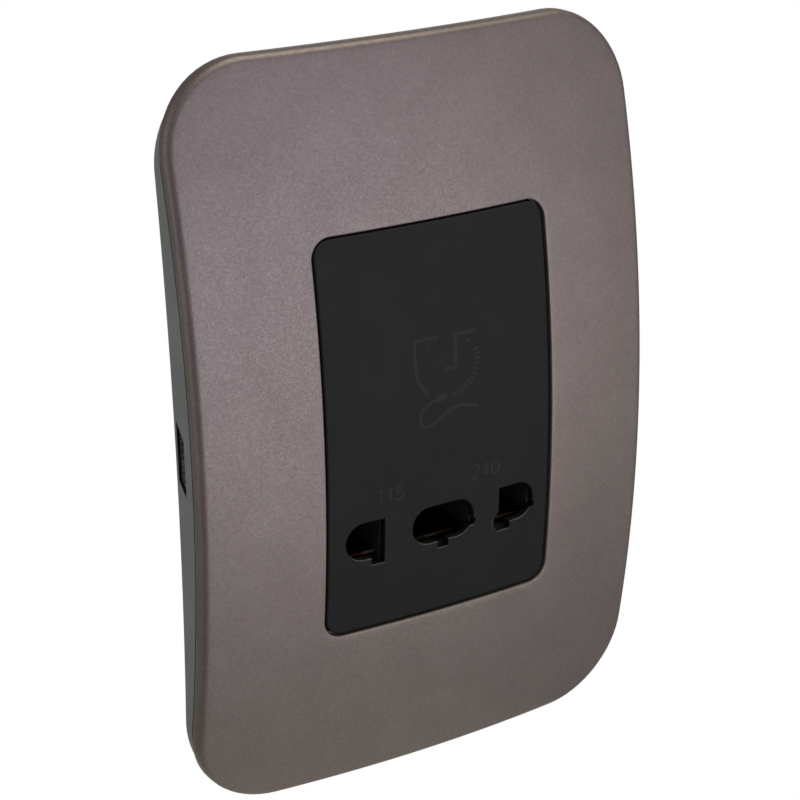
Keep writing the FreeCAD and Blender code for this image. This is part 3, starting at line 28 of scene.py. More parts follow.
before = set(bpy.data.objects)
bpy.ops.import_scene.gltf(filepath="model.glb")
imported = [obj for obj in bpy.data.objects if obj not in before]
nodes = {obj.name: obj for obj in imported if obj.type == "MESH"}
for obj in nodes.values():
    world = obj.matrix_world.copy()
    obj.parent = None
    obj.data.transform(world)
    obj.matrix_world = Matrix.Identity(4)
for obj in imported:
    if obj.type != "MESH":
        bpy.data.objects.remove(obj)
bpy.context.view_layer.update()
mm = 0.001
noiseLow, noiseHigh = 0.3, 0.7     # nearly all of a noise texture's values lie between these
glossSpread = 0.05                 # how far a moulded or painted skin's roughness varies
drawnSpread = 0.08                 # and that of rolled or drawn metal
filmSpread = 0.06                  # and that of film and insulation
tarnishLow, tarnishHigh = 0.35, 0.75
print("frame loaded:", len(nodes), "nodes")


def linear(hexColour):
    # sRGB hex to linear light, channel by channel
    values = np.array([int(hexColour[i:i + 2], 16) for i in (1, 3, 5)]) / 255
    high = ((values + 0.055) / 1.055) ** 2.4
    return (*np.where(values <= 0.04045, values / 12.92, high).tolist(), 1.0)


def addNode(tree, kind, inputs=None, **settings):
    # one node with its settings, and its sockets either linked or set
    made = tree.nodes.new(kind)
    for name, value in settings.items():
        setattr(made, name, value)
    for name, value in (inputs or {}).items():
        if isinstance(value, bpy.types.NodeSocket):
            tree.links.new(value, made.inputs[name])
        else:
            made.inputs[name].default_value = value
    return made


def startMaterial(name):
    # an empty node tree and the object coordinates that every pattern reads
    material = bpy.data.materials.new(name)
    material.use_nodes = True
    material.node_tree.nodes.clear()
    place = addNode(material.node_tree, "ShaderNodeTexCoord").outputs["Object"]
    return material, material.node_tree, place


def scaleFor(millimetres):
    # noise scale that gives features of this size
    return 1 / (millimetres * mm)


def bandScaleFor(millimetres):
    # wave scale that gives one band each so many millimetres; the wave runs 20 radians to a unit
    return 2 * math.pi / 20 / (millimetres * mm)


def paintedRecessShade(tree, place, colour, look):
    # painted shade inside a small recess, a box in x, y and z: mottled grey, with a painted black
    # shadow line along its outer edge
    axes = addNode(tree, "ShaderNodeSeparateXYZ", {0: place})
    inside = 1.0
    for axis, (low, high) in enumerate(look["box"]):
        middle, half = (low + high) / 2 * mm, (high - low) / 2 * mm
        within = addNode(tree, "ShaderNodeMath", {
            0: axes.outputs[axis], 1: middle, 2: half}, operation="COMPARE")
        inside = addNode(tree, "ShaderNodeMath", {
            0: inside, 1: within.outputs[0]}, operation="MULTIPLY").outputs[0]
    mottle = addNode(tree, "ShaderNodeTexNoise", {
        "Vector": place, "Scale": scaleFor(look["mottleSize"]), "Detail": 3.0})
    spots = addNode(tree, "ShaderNodeMapRange", {
        "Value": mottle.outputs[0], "From Min": look["mottleLow"], "From Max": look["mottleHigh"]})
    inner = addNode(tree, "ShaderNodeMix", {
        0: spots.outputs[0], 6: linear(look["shade"]), 7: linear(look["colour"])}, data_type="RGBA")
    rim = look["box"][0][0]
    outer = addNode(tree, "ShaderNodeMapRange", {
        "Value": axes.outputs[0], "From Min": (rim + look["edgeSolid"]) * mm,
        "From Max": (rim + look["edge"]) * mm})
    deep = addNode(tree, "ShaderNodeMix", {
        0: outer.outputs[0], 6: linear(look["shadowLineColour"]), 7: inner.outputs[2]}, data_type="RGBA")
    return addNode(tree, "ShaderNodeMix", {
        0: inside, 6: colour, 7: deep.outputs[2]}, data_type="RGBA").outputs[2]


def paintedEdgeHighlight(tree, place, colour, look):
    # painted highlight on edges that face up and forwards, brightest at the hole sills and fainter
    # on the rim above them
    surface = addNode(tree, "ShaderNodeNewGeometry")
    axes = addNode(tree, "ShaderNodeSeparateXYZ", {0: surface.outputs["Normal"]})
    upward = addNode(tree, "ShaderNodeMapRange", {
        "Value": axes.outputs[2], "From Min": look["upStart"], "From Max": look["upFull"]})
    forward = addNode(tree, "ShaderNodeMapRange", {
        "Value": axes.outputs[1], "From Min": look["frontStart"], "From Max": look["frontFull"]})
    edge = addNode(tree, "ShaderNodeMath", {
        0: upward.outputs[0], 1: forward.outputs[0]}, operation="MULTIPLY")
    height = addNode(tree, "ShaderNodeSeparateXYZ", {0: place})
    above = addNode(tree, "ShaderNodeMapRange", {
        "Value": height.outputs[2],
        "From Min": look["sillTop"] * mm, "From Max": look["rimFoot"] * mm})
    pale = addNode(tree, "ShaderNodeMix", {
        0: above.outputs[0], 6: linear(look["sill"]), 7: linear(look["rim"])}, data_type="RGBA")
    return addNode(tree, "ShaderNodeMix", {
        0: edge.outputs[0], 6: colour, 7: pale.outputs[2]}, data_type="RGBA").outputs[2]


def mouldedPlastic(name, look):
    # eroded mould grain breaks the gloss up, and flow clouds shift the tone slightly
    material, tree, place = startMaterial(name)
    cloud = addNode(tree, "ShaderNodeTexNoise", {
        "Vector": place, "Scale": scaleFor(look["cloudSize"]), "Detail": 3.0})
    grain = addNode(tree, "ShaderNodeTexNoise", {
        "Vector": place, "Scale": scaleFor(look["grainSize"]), "Detail": 2.0})
    flow = addNode(tree, "ShaderNodeMapRange", {
        "Value": cloud.outputs[0], "From Min": noiseLow, "From Max": noiseHigh})
    tone = addNode(tree, "ShaderNodeMix", {
        0: flow.outputs[0], 6: linear(look["shade"]), 7: linear(look["colour"])}, data_type="RGBA")
    speck = addNode(tree, "ShaderNodeMapRange", {
        "Value": grain.outputs[0], "From Min": noiseLow, "From Max": noiseHigh,
        "To Min": 1 - look["speck"], "To Max": 1 + look["speck"]})
    colour = addNode(tree, "ShaderNodeVectorMath", {
        0: tone.outputs[2], 1: speck.outputs[0]}, operation="MULTIPLY").outputs[0]
    # painted shade in the frame's side recess
    if "recess" in look:
        colour = paintedRecessShade(tree, place, colour, look["recess"])
    # painted highlight on edges that face up and forwards
    if "edgeHighlight" in look:
        colour = paintedEdgeHighlight(tree, place, colour, look["edgeHighlight"])
    relief = addNode(tree, "ShaderNodeBump", {
        "Height": grain.outputs[0], "Distance": look["grainDepth"] * mm})
    rough = addNode(tree, "ShaderNodeMapRange", {
        "Value": grain.outputs[0], "From Min": noiseLow, "From Max": noiseHigh,
        "To Min": look["roughness"] - glossSpread, "To Max": look["roughness"] + glossSpread})
    shader = addNode(tree, "ShaderNodeBsdfPrincipled", {
        "Base Color": colour, "Roughness": rough.outputs[0], "IOR": look["ior"],
        "Specular IOR Level": look["gloss"], "Normal": relief.outputs[0]})
    addNode(tree, "ShaderNodeOutputMaterial", {"Surface": shader.outputs[0]})
    return material


def workedMetal(name, look):
    # rolling or drawing lines run along one way, with a faint tarnish over them
    material, tree, place = startMaterial(name)
    along = addNode(tree, "ShaderNodeMapping", {"Vector": place, "Scale": look["stretch"]})
    lines = addNode(tree, "ShaderNodeTexNoise", {
        "Vector": along.outputs[0], "Scale": scaleFor(look["lineWidth"]), "Detail": 3.0})
    cloud = addNode(tree, "ShaderNodeTexNoise", {
        "Vector": place, "Scale": scaleFor(look["tarnishSize"]), "Detail": 4.0})
    dulled = addNode(tree, "ShaderNodeMapRange", {
        "Value": cloud.outputs[0], "From Min": tarnishLow, "From Max": tarnishHigh})
    tone = addNode(tree, "ShaderNodeMix", {
        0: dulled.outputs[0], 6: linear(look["colour"]), 7: linear(look["tarnish"])},
        data_type="RGBA")
    relief = addNode(tree, "ShaderNodeBump", {
        "Height": lines.outputs[0], "Distance": look["lineDepth"] * mm})
    rough = addNode(tree, "ShaderNodeMapRange", {
        "Value": lines.outputs[0], "From Min": noiseLow, "From Max": noiseHigh,
        "To Min": look["roughness"] - drawnSpread, "To Max": look["roughness"] + drawnSpread})
    shader = addNode(tree, "ShaderNodeBsdfPrincipled", {
        "Base Color": tone.outputs[2], "Metallic": 1.0, "Roughness": rough.outputs[0],
        "Normal": relief.outputs[0]})
    addNode(tree, "ShaderNodeOutputMaterial", {"Surface": shader.outputs[0]})
    return material


def bandedMetal(name, look):
    # parallel edges of sheet or wire, with a dark line between neighbours
    material, tree, place = startMaterial(name)
    bands = addNode(tree, "ShaderNodeTexWave", {
        "Vector": place, "Scale": bandScaleFor(look["pitch"]), "Distortion": look["waver"],
        "Detail": 1.0, "Detail Scale": 0.05}, bands_direction=look["across"])
    blotch = addNode(tree, "ShaderNodeTexNoise", {
        "Vector": place, "Scale": scaleFor(look["blotchSize"]), "Detail": 3.0})
    tone = addNode(tree, "ShaderNodeMix", {
        0: blotch.outputs[0], 6: linear(look["shade"]), 7: linear(look["colour"])},
        data_type="RGBA")
    edge = addNode(tree, "ShaderNodeMapRange", {
        "Value": bands.outputs["Fac"], "From Min": 0.0, "From Max": look["lineShare"]})
    colour = addNode(tree, "ShaderNodeMix", {
        0: edge.outputs[0], 6: linear(look["line"]), 7: tone.outputs[2]}, data_type="RGBA")
    relief = addNode(tree, "ShaderNodeBump", {
        "Height": bands.outputs["Fac"], "Distance": look["relief"] * mm})
    shader = addNode(tree, "ShaderNodeBsdfPrincipled", {
        "Base Color": colour.outputs[2], "Metallic": look["metallic"],
        "Roughness": look["roughness"], "Coat Weight": look["varnish"], "Coat Roughness": 0.25,
        "Normal": relief.outputs[0]})
    addNode(tree, "ShaderNodeOutputMaterial", {"Surface": shader.outputs[0]})
    return material


def smoothFilm(name, look):
    # even glossy skin with slight waviness from how it was drawn or extruded
    material, tree, place = startMaterial(name)
    wave = addNode(tree, "ShaderNodeTexNoise", {
        "Vector": place, "Scale": scaleFor(look["waveSize"]), "Detail": 2.0})
    tone = addNode(tree, "ShaderNodeMix", {
        0: wave.outputs[0], 6: linear(look["shade"]), 7: linear(look["colour"])}, data_type="RGBA")
    relief = addNode(tree, "ShaderNodeBump", {
        "Height": wave.outputs[0], "Distance": look["waveDepth"] * mm})
    rough = addNode(tree, "ShaderNodeMapRange", {
        "Value": wave.outputs[0], "From Min": noiseLow, "From Max": noiseHigh,
        "To Min": look["roughness"] - filmSpread, "To Max": look["roughness"] + filmSpread})
    shader = addNode(tree, "ShaderNodeBsdfPrincipled", {
        "Base Color": tone.outputs[2], "Metallic": look["metallic"], "Roughness": rough.outputs[0],
        "IOR": look["ior"], "Normal": relief.outputs[0]})
    addNode(tree, "ShaderNodeOutputMaterial", {"Surface": shader.outputs[0]})
    return material


face = {
    "acrossRadius": 263.0,
    "upRadius": 237.5,
    "cornerPoints": 17,
    "sidePoints": 34,
}


def faceDepthAt(x, z, depth):
    # y of the arched face: an arc across, turned about a level axis far behind it
    sag = face["acrossRadius"] - np.sqrt(face["acrossRadius"] ** 2 - x ** 2)
    return face["upRadius"] - depth - np.sqrt((face["upRadius"] - sag) ** 2 - z ** 2)


def outline(halfWidth, halfHeight, corner, rise):
    # rounded rectangle in x and z as one row of points, counter-clockwise from the lower right
    perCorner, perSide = face["cornerPoints"], face["sidePoints"]
    turn = np.linspace(0, math.pi / 2, perCorner)
    starts = np.radians([-90, 0, 90, 180])
    signs = np.array([[1, -1], [1, 1], [-1, 1], [-1, -1]])
    middles = signs * [halfWidth - corner, halfHeight - corner]
    angles = starts[:, None] + turn[None, :]
    arcs = middles[:, None, :] + corner * np.stack([np.cos(angles), np.sin(angles)], 2)
    share = np.linspace(0, 1, perSide + 2)[1:-1][None, :, None]
    sides = arcs[:, -1:, :] * (1 - share) + np.roll(arcs, -1, 0)[:, :1, :] * share
    points = np.concatenate([arcs, sides], 1).reshape(-1, 2)
    return points + [0, rise]


def meshPiece(name, points, faces, material, sharpAngle=40):
    # points in millimetres; edges sharper than the angle stay crisp
    mesh = bpy.data.meshes.new(name)
    mesh.from_pydata((points * mm).tolist(), [], faces)
    mesh.validate()
    mesh.shade_smooth()
    mesh.set_sharp_from_angle(angle=math.radians(sharpAngle))
    mesh.materials.append(material)
    piece = bpy.data.objects.new(name, mesh)
    bpy.context.scene.collection.objects.link(piece)
    return piece


def gridFaces(rows, columns, closedRows, closedColumns):
    # quads of a grid of points, row by row, joined round where it is closed
    down = np.arange(rows if closedRows else rows - 1)
    along = np.arange(columns if closedColumns else columns - 1)
    i, j = np.meshgrid(down, along, indexing="ij")
    nextI, nextJ = (i + 1) % rows, (j + 1) % columns
    corners = [i * columns + j, nextI * columns + j, nextI * columns + nextJ, i * columns + nextJ]
    return np.stack(corners, 2).reshape(-1, 4)


coverPaint = {
    "flakeSize": 0.3,         # real flakes are near 0.03 mm; drawn coarser so that the grain shows
    "cloudSize": 9.0,
    "cloudShare": 0.35,       # the rest of the tone varies flake by flake
    "colour": "#8c7f7f",
    "shade": "#7c6f6f",
    "warmTint": "#fcfff3",    # tint that runs with position: taupe low on the right, violet high on the left
    "violetTint": "#fafaff",
    "tintWay": (-0.55, 0, 0.83),
    "tintStart": -25.0,
    "tintEnd": 65.0,
    "tintLow": -0.3,
    "tintHigh": 0.7,
    "tintFlake": 0.5,         # how much of the tint varies flake by flake
    "flakeTilt": 0.012,
    "metallic": 0.7,
    "roughness": 0.5,
}


def metallicPaint(name, look):
    # satin paint with aluminium flakes, each with its own tilt, tone and tint: a soft, grainy sheen
    material, tree, place = startMaterial(name)
    flakes = addNode(tree, "ShaderNodeTexVoronoi", {
        "Vector": place, "Scale": scaleFor(look["flakeSize"])})
    flake = addNode(tree, "ShaderNodeSeparateColor", {0: flakes.outputs["Color"]})
    cloud = addNode(tree, "ShaderNodeTexNoise", {
        "Vector": place, "Scale": scaleFor(look["cloudSize"]), "Detail": 3.0})
    drift = addNode(tree, "ShaderNodeMapRange", {
        "Value": cloud.outputs[0], "From Min": noiseLow, "From Max": noiseHigh,
        "To Min": 0.0, "To Max": look["cloudShare"]})
    level = addNode(tree, "ShaderNodeMath", {
        0: flake.outputs[0], 1: 1 - look["cloudShare"], 2: drift.outputs[0]},
        operation="MULTIPLY_ADD")
    tone = addNode(tree, "ShaderNodeMix", {
        0: level.outputs[0], 6: linear(look["shade"]), 7: linear(look["colour"])}, data_type="RGBA")
    reach = addNode(tree, "ShaderNodeVectorMath", {
        0: place, 1: look["tintWay"]}, operation="DOT_PRODUCT")
    slow = addNode(tree, "ShaderNodeMapRange", {
        "Value": reach.outputs["Value"], "From Min": look["tintStart"] * mm,
        "From Max": look["tintEnd"] * mm, "To Min": look["tintLow"], "To Max": look["tintHigh"]})
    turn = addNode(tree, "ShaderNodeMath", {
        0: flake.outputs[2], 1: look["tintFlake"], 2: slow.outputs[0]}, operation="MULTIPLY_ADD")
    tint = addNode(tree, "ShaderNodeMix", {
        0: turn.outputs[0], 6: linear(look["warmTint"]), 7: linear(look["violetTint"])},
        data_type="RGBA")
    colour = addNode(tree, "ShaderNodeVectorMath", {
        0: tone.outputs[2], 1: tint.outputs[2]}, operation="MULTIPLY")
    relief = addNode(tree, "ShaderNodeBump", {
        "Height": flake.outputs[0], "Distance": look["flakeTilt"] * mm})
    rough = addNode(tree, "ShaderNodeMapRange", {
        "Value": flake.outputs[1], "To Min": look["roughness"] - glossSpread,
        "To Max": look["roughness"] + glossSpread})
    shader = addNode(tree, "ShaderNodeBsdfPrincipled", {
        "Base Color": colour.outputs[0], "Metallic": look["metallic"],
        "Roughness": rough.outputs[0], "Normal": relief.outputs[0]})
    addNode(tree, "ShaderNodeOutputMaterial", {"Surface": shader.outputs[0]})
    return material


cover = {
    "halfWidth": 44.0,
    "halfHeight": 64.25,
    "corner": 15.1,
    "depth": 13.9,
    "wall": 1.5,
    "rim": 1.5,
    "skirt": 2.64,            # a little short of the solid's, so that the gap to the frame shows
    "edgeSoft": 0.15,
    "windowHalfWidth": 22.5,
    "windowHalfHeight": 34.65,
    "windowCorner": 3.5,
    "windowRise": 0.4,
    "windowRim": 0.3,
    "slopeBase": 0.5,         # the face's slope at its edge is read over this width
    "windowRows": 5,
    "faceRows": 30,
    "rimRows": 10,
    "hollowRows": 12,
}


def coverSurface(look):
    # a profile carried round the plate: window wall, arched face, rolled rim, skirt, hollow behind.
    # Across the face a point goes straight from the window's outline to the plate's. The outlines
    # can be grown or drawn in, and a row of points gets its y from the face or from a number.
    def window(grow):
        return outline(look["windowHalfWidth"] + grow, look["windowHalfHeight"] + grow,
                       look["windowCorner"] + grow, look["windowRise"])

    def plate(inset):
        return outline(look["halfWidth"] - inset, look["halfHeight"] - inset,
                       look["corner"] - inset, 0)

    def row(points, y):
        return np.stack([points[:, 0], np.broadcast_to(y, len(points)), points[:, 1]], 1)

    def onFace(points, depth):
        return faceDepthAt(points[:, 0], points[:, 1], depth)

    rows = []
    back = look["depth"] - look["wall"]
    rows.append(row(window(0), onFace(window(0), back)))
    rows.append(row(window(0), onFace(window(0), look["depth"]) + look["windowRim"]))
    for angle in np.linspace(0, math.pi / 2, look["windowRows"])[1:]:   # rounded window edge
        at = window(look["windowRim"] * (1 - math.cos(angle)))
        rows.append(row(at, onFace(at, look["depth"]) + look["windowRim"] * (1 - math.sin(angle))))
    inner = window(look["windowRim"])
    edge, inside = plate(0), plate(look["slopeBase"])
    gap = np.linalg.norm(edge - inside, axis=1)
    slope = np.arctan((onFace(edge, look["depth"]) - onFace(inside, look["depth"])) / gap)
    reach = math.pi / 2 - slope                        # the rim turns this far, point by point
    insets = look["rim"] * (1 - np.cos(reach))
    outward = (edge - inside) / gap[:, None]
    last = edge - outward * insets[:, None]
    for share in np.linspace(0, 1, look["faceRows"])[1:]:
        at = inner * (1 - share) + last * share
        rows.append(row(at, onFace(at, look["depth"])))
    middle = onFace(last, look["depth"]) + look["rim"] * np.sin(reach)
    for share in np.linspace(1, 0, look["rimRows"])[1:]:
        angle = reach * share
        at = edge - outward * (look["rim"] * (1 - np.cos(angle)))[:, None]
        rows.append(row(at, middle - look["rim"] * np.sin(angle)))
    soft = look["edgeSoft"]
    rear = look["depth"] - look["skirt"]
    rows.append(row(edge, onFace(edge, rear) - soft))
    part = 0.3 * soft                                  # the quarter round's middle, near enough
    rows.append(row(plate(part), onFace(plate(part), rear) - part))
    rows.append(row(plate(soft), onFace(plate(soft), rear)))
    rows.append(row(plate(look["wall"]), onFace(plate(look["wall"]), rear)))
    hollow = plate(look["wall"])
    for share in np.linspace(0, 1, look["hollowRows"])[:-1]:
        at = hollow * (1 - share) + window(0) * share
        rows.append(row(at, onFace(at, back)))
    return np.stack(rows)


paint = metallicPaint("satin_metallic_paint", coverPaint)
surface = coverSurface(cover)
plate = meshPiece("cover_plate_painted", surface.reshape(-1, 3),
                  gridFaces(*surface.shape[:2], True, True).tolist(), paint)
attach(plate, "root")
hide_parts("cover_plate")
print("cover plate:", len(plate.data.polygons), "faces")

frontPlastic = {               # charcoal ABS, spark-eroded mould: soft sheen, no mirror
    "colour": "#1d1e1d", "shade": "#1a1b1a", "speck": 0.06, "cloudSize": 7.0, "grainSize": 0.16,
    "grainDepth": 0.004, "roughness": 0.6, "ior": 1.53, "gloss": 0.15,
    # painted highlight on edges that face up and forwards, brightest at the hole sills
    "edgeHighlight": {"sill": "#5f605c", "rim": "#343533", "sillTop": -12, "rimFoot": 10,
            "upStart": 0.25, "upFull": 0.6, "frontStart": -0.15, "frontFull": -0.35}}
framePlastic = {               # grey-green polycarbonate, polished mould
    "colour": "#888c8d", "shade": "#7f8385", "speck": 0.04, "cloudSize": 11.0, "grainSize": 0.2,
    "grainDepth": 0.003, "roughness": 0.42, "ior": 1.58, "gloss": 0.4,
    # painted shade in the side recess: mottled grey inside, a painted black shadow line at its
    # outer edge
    "recess": {
        "box": [(-43.83, -40.45), (-5.2, -2.4), (-5.8, 7.6)],
        "colour": "#c4c5c4", "shade": "#515251", "mottleSize": 0.6, "mottleLow": 0.38,
        "mottleHigh": 0.62, "edgeSolid": 0.45, "edge": 0.75, "shadowLineColour": "#040404"}}
housingPlastic = {             # dark grey glass-filled nylon: fibres make it matt
    "colour": "#3b3c3e", "shade": "#313234", "speck": 0.1, "cloudSize": 6.0, "grainSize": 0.25,
    "grainDepth": 0.008, "roughness": 0.6, "ior": 1.53, "gloss": 0.4}
carrierPlastic = {             # dark grey phenolic: dull and dense
    "colour": "#403f3e", "shade": "#353434", "speck": 0.15, "cloudSize": 4.0, "grainSize": 0.2,
    "grainDepth": 0.006, "roughness": 0.7, "ior": 1.6, "gloss": 0.1}
blockPlastic = {               # pale urea moulding: hard and slightly waxy
    "colour": "#cfcec6", "shade": "#c4c3ba", "speck": 0.03, "cloudSize": 5.0, "grainSize": 0.2,
    "grainDepth": 0.004, "roughness": 0.4, "ior": 1.55, "gloss": 0.5}
bobbinPlastic = {              # natural nylon: milky cream
    "colour": "#dcd8cb", "shade": "#d2cdbd", "speck": 0.03, "cloudSize": 6.0, "grainSize": 0.25,
    "grainDepth": 0.004, "roughness": 0.5, "ior": 1.53, "gloss": 0.5}
cutoutPlastic = {              # black thermoset case of the cut-out
    "colour": "#1c1c1c", "shade": "#151515", "speck": 0.08, "cloudSize": 3.0, "grainSize": 0.2,
    "grainDepth": 0.004, "roughness": 0.4, "ior": 1.6, "gloss": 0.5}
contactBronze = {              # rolled phosphor bronze strip: warm, drawn lines across the leaves; colour and tarnish darkened to a painted shade, as it sits deep in the holes
    "colour": "#33271f", "tarnish": "#241b15", "stretch": (0.08, 1, 1), "lineWidth": 0.12,
    "lineDepth": 0.003, "tarnishSize": 3.0, "roughness": 0.5}
terminalBrass = {              # machined brass: yellow with turning lines
    "colour": "#c9ab6b", "tarnish": "#a98c52", "stretch": (1, 1, 0.1), "lineWidth": 0.15,
    "lineDepth": 0.003, "tarnishSize": 4.0, "roughness": 0.35}
screwSteel = {                 # zinc plated steel: bright and slightly cloudy
    "colour": "#b4b4b0", "tarnish": "#969a9c", "stretch": (1, 0.2, 1), "lineWidth": 0.2,
    "lineDepth": 0.003, "tarnishSize": 2.5, "roughness": 0.38}
bracketSteel = {               # zinc plated strip: rolled along its length
    "colour": "#a9abab", "tarnish": "#8e9294", "stretch": (1, 0.08, 0.08), "lineWidth": 0.2,
    "lineDepth": 0.003, "tarnishSize": 6.0, "roughness": 0.42}
coreSteel = {                  # stacked 0.5 mm silicon steel sheets, varnished: fine dark lines
    "colour": "#6d6f74", "shade": "#54565b", "line": "#26272a", "pitch": 0.5, "waver": 0.3,
    "across": "X", "lineShare": 0.35, "blotchSize": 5.0, "relief": 0.04, "metallic": 0.8,
    "roughness": 0.5, "varnish": 0.3}
windingCopper = {              # enamelled copper wire, close wound: round glossy turns
    "colour": "#b5643a", "shade": "#94492a", "line": "#3c1c10", "pitch": 0.4, "waver": 0.5,
    "across": "Z", "lineShare": 0.35, "blotchSize": 4.0, "relief": 0.1, "metallic": 0.7,
    "roughness": 0.3, "varnish": 0.6}
tapeFilm = {                   # polyester tape: yellow, glossy, slightly wrinkled
    "colour": "#d6aa33", "shade": "#c89a28", "waveSize": 2.5, "waveDepth": 0.05,
    "metallic": 0.0, "roughness": 0.25, "ior": 1.57}
labelFilm = {                  # silvered film, left bare: soft metallic sheen
    "colour": "#c7c9cc", "shade": "#bcbfc3", "waveSize": 6.0, "waveDepth": 0.01,
    "metallic": 0.6, "roughness": 0.4, "ior": 1.5}
mainsInsulation = {            # brown PVC: smooth with a soft shine
    "colour": "#5c3220", "shade": "#4d2819", "waveSize": 1.2, "waveDepth": 0.02,
    "metallic": 0.0, "roughness": 0.35, "ior": 1.53}
outletInsulation = {           # off-white PVC
    "colour": "#d4cfc3", "shade": "#c8c2b4", "waveSize": 1.2, "waveDepth": 0.02,
    "metallic": 0.0, "roughness": 0.35, "ior": 1.53}

frontSkin = mouldedPlastic("charcoal_abs_eroded", frontPlastic)
finishes = {
    "socket_front": frontSkin,
    "base_frame": mouldedPlastic("grey_green_polycarbonate", framePlastic),
    "rear_housing": mouldedPlastic("dark_glass_filled_nylon", housingPlastic),
    "contact_carrier": mouldedPlastic("dark_phenolic_moulded", carrierPlastic),
    "terminal_block": mouldedPlastic("pale_urea_moulded", blockPlastic),
    "transformer_bobbin": mouldedPlastic("natural_nylon_moulded", bobbinPlastic),
    "thermal_cutout": mouldedPlastic("black_thermoset_case", cutoutPlastic),
    "core_bracket": workedMetal("zinc_plated_strip", bracketSteel),
    "winding_tape": smoothFilm("yellow_polyester_tape", tapeFilm),
    "rating_label": smoothFilm("silvered_label_film", labelFilm),
    "primary_leads": smoothFilm("brown_pvc_insulation", mainsInsulation),
    "secondary_leads": smoothFilm("white_pvc_insulation", outletInsulation),
}
shared = {
    workedMetal("rolled_phosphor_bronze", contactBronze): [
        "contact_left", "contact_middle", "contact_right"],
    workedMetal("machined_brass", terminalBrass): ["terminal_clamps", "bobbin_pins", "earth_strap"],
    workedMetal("zinc_plated_screw_steel", screwSteel): ["housing_screws", "terminal_screws"],
    bandedMetal("varnished_core_laminations", coreSteel): ["core_e_stack", "core_i_stack"],
    bandedMetal("enamelled_copper_wire", windingCopper): ["primary_winding", "secondary_winding"],
}
for material, names in shared.items():
    finishes.update({name: material for name in names})
for name, material in finishes.items():
    nodes[name].data.materials.clear()
    nodes[name].data.materials.append(material)
print("materials:", len(bpy.data.materials))


marks = {
    "figureWidth": 0.68,
    "eyeWidth": 0.5,
    "headWidth": 1.35,
    "cordWidth": 0.6,
    "stubbleWidth": 0.46,
    "stubbleMiddle": (1.5, 10.7),
    "stubbleFrom": 4.75,
    "stubbleTo": 6.05,
    "stubbleTurn": (-84, 16),
    "stubbleCount": 12,
    "digitWidth": 0.4,
    "proud": 0.008,
    "overlap": 0.0006,        # each stroke stands this much prouder than the one before
    "sunk": 0.12,
    "frontDepth": 13.6,
    "step": 0.12,
    "endRows": 6,
    "leastRows": 3,
    "tipHalf": 0.001,         # a strip's ends keep this half width and don't close on a point
    "tangentStep": 0.02,
    "curveSteps": 14,
    "digitSteps": 6,
}
markPlastic = dict(             # the same ABS etched: a little paler and duller
    frontPlastic, colour="#2d2d2d", shade="#2a2a2a", roughness=0.66)


def smoothRun(points, perSpan):
    # Catmull-Rom curve through the points: a cubic on each span from its four neighbours
    p = np.array(points, float)
    p = np.concatenate([2 * p[:1] - p[1:2], p, 2 * p[-1:] - p[-2:-1]])
    t = np.linspace(0, 1, perSpan, endpoint=False)[None, :, None]
    a, b, c, d = (p[i:len(p) - 3 + i, None, :] for i in range(4))
    curve = 0.5 * (2 * b + (c - a) * t + (2 * a - 5 * b + 4 * c - d) * t ** 2
                   + (3 * b - a - 3 * c + d) * t ** 3)
    return np.concatenate([curve.reshape(-1, 2), p[-2:-1]])


def ribbon(path, width, proud, look):
    # flat strip along a path on the front; its half width shrinks over its own radius to round ends
    path = np.array(path, float)
    runs = np.concatenate([[0], np.cumsum(np.linalg.norm(np.diff(path, axis=0), axis=1))])
    total, radius = runs[-1], width / 2
    ends = radius * (1 - np.cos(np.linspace(0, math.pi / 2, look["endRows"])))
    inner = np.linspace(radius, total - radius, max(look["leastRows"], int(total / look["step"])))
    bends = runs[(runs > radius) & (runs < total - radius)]
    along = np.unique(np.concatenate([ends, inner, total - ends, bends]))
    centre = np.stack([np.interp(along, runs, path[:, i]) for i in (0, 1)], 1)
    before = np.stack([np.interp(along - look["tangentStep"], runs, path[:, i]) for i in (0, 1)], 1)
    after = np.stack([np.interp(along + look["tangentStep"], runs, path[:, i]) for i in (0, 1)], 1)
    tangent = (after - before) / np.linalg.norm(after - before, axis=1)[:, None]
    fromEnd = np.minimum(along, total - along)
    rounding = np.maximum(radius - fromEnd, 0)
    half = np.sqrt(np.maximum(radius ** 2 - rounding ** 2, look["tipHalf"] ** 2))
    side = np.stack([-tangent[:, 1], tangent[:, 0]], 1) * half[:, None]
    left, right = centre + side, centre - side
    corners = [(left, -look["sunk"]), (left, proud), (right, proud), (right, -look["sunk"])]
    depth = look["frontDepth"]
    ring = [np.stack([at[:, 0], faceDepthAt(at[:, 0], at[:, 1], depth + lift), at[:, 1]], 1)
            for at, lift in corners]
    points = np.stack(ring, 1)
    faces = gridFaces(len(along), 4, False, True)[:, ::-1]
    caps = np.array([[0, 1, 2, 3], [3, 2, 1, 0] + np.full(4, 4 * (len(along) - 1))])
    return points.reshape(-1, 3), np.concatenate([faces, caps])


def markPiece(name, strokes, look, material):
    # all strokes of a mark in one mesh, each a hair prouder than the last: none share a plane
    points, faces, count = [], [], 0
    for place, (path, width) in enumerate(strokes):
        p, f = ribbon(path, width, look["proud"] + place * look["overlap"], look)
        points.append(p)
        faces.append(f + count)
        count += len(p)
    piece = meshPiece(name, np.concatenate(points), np.concatenate(faces).tolist(), material)
    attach(piece, "root")
    return piece


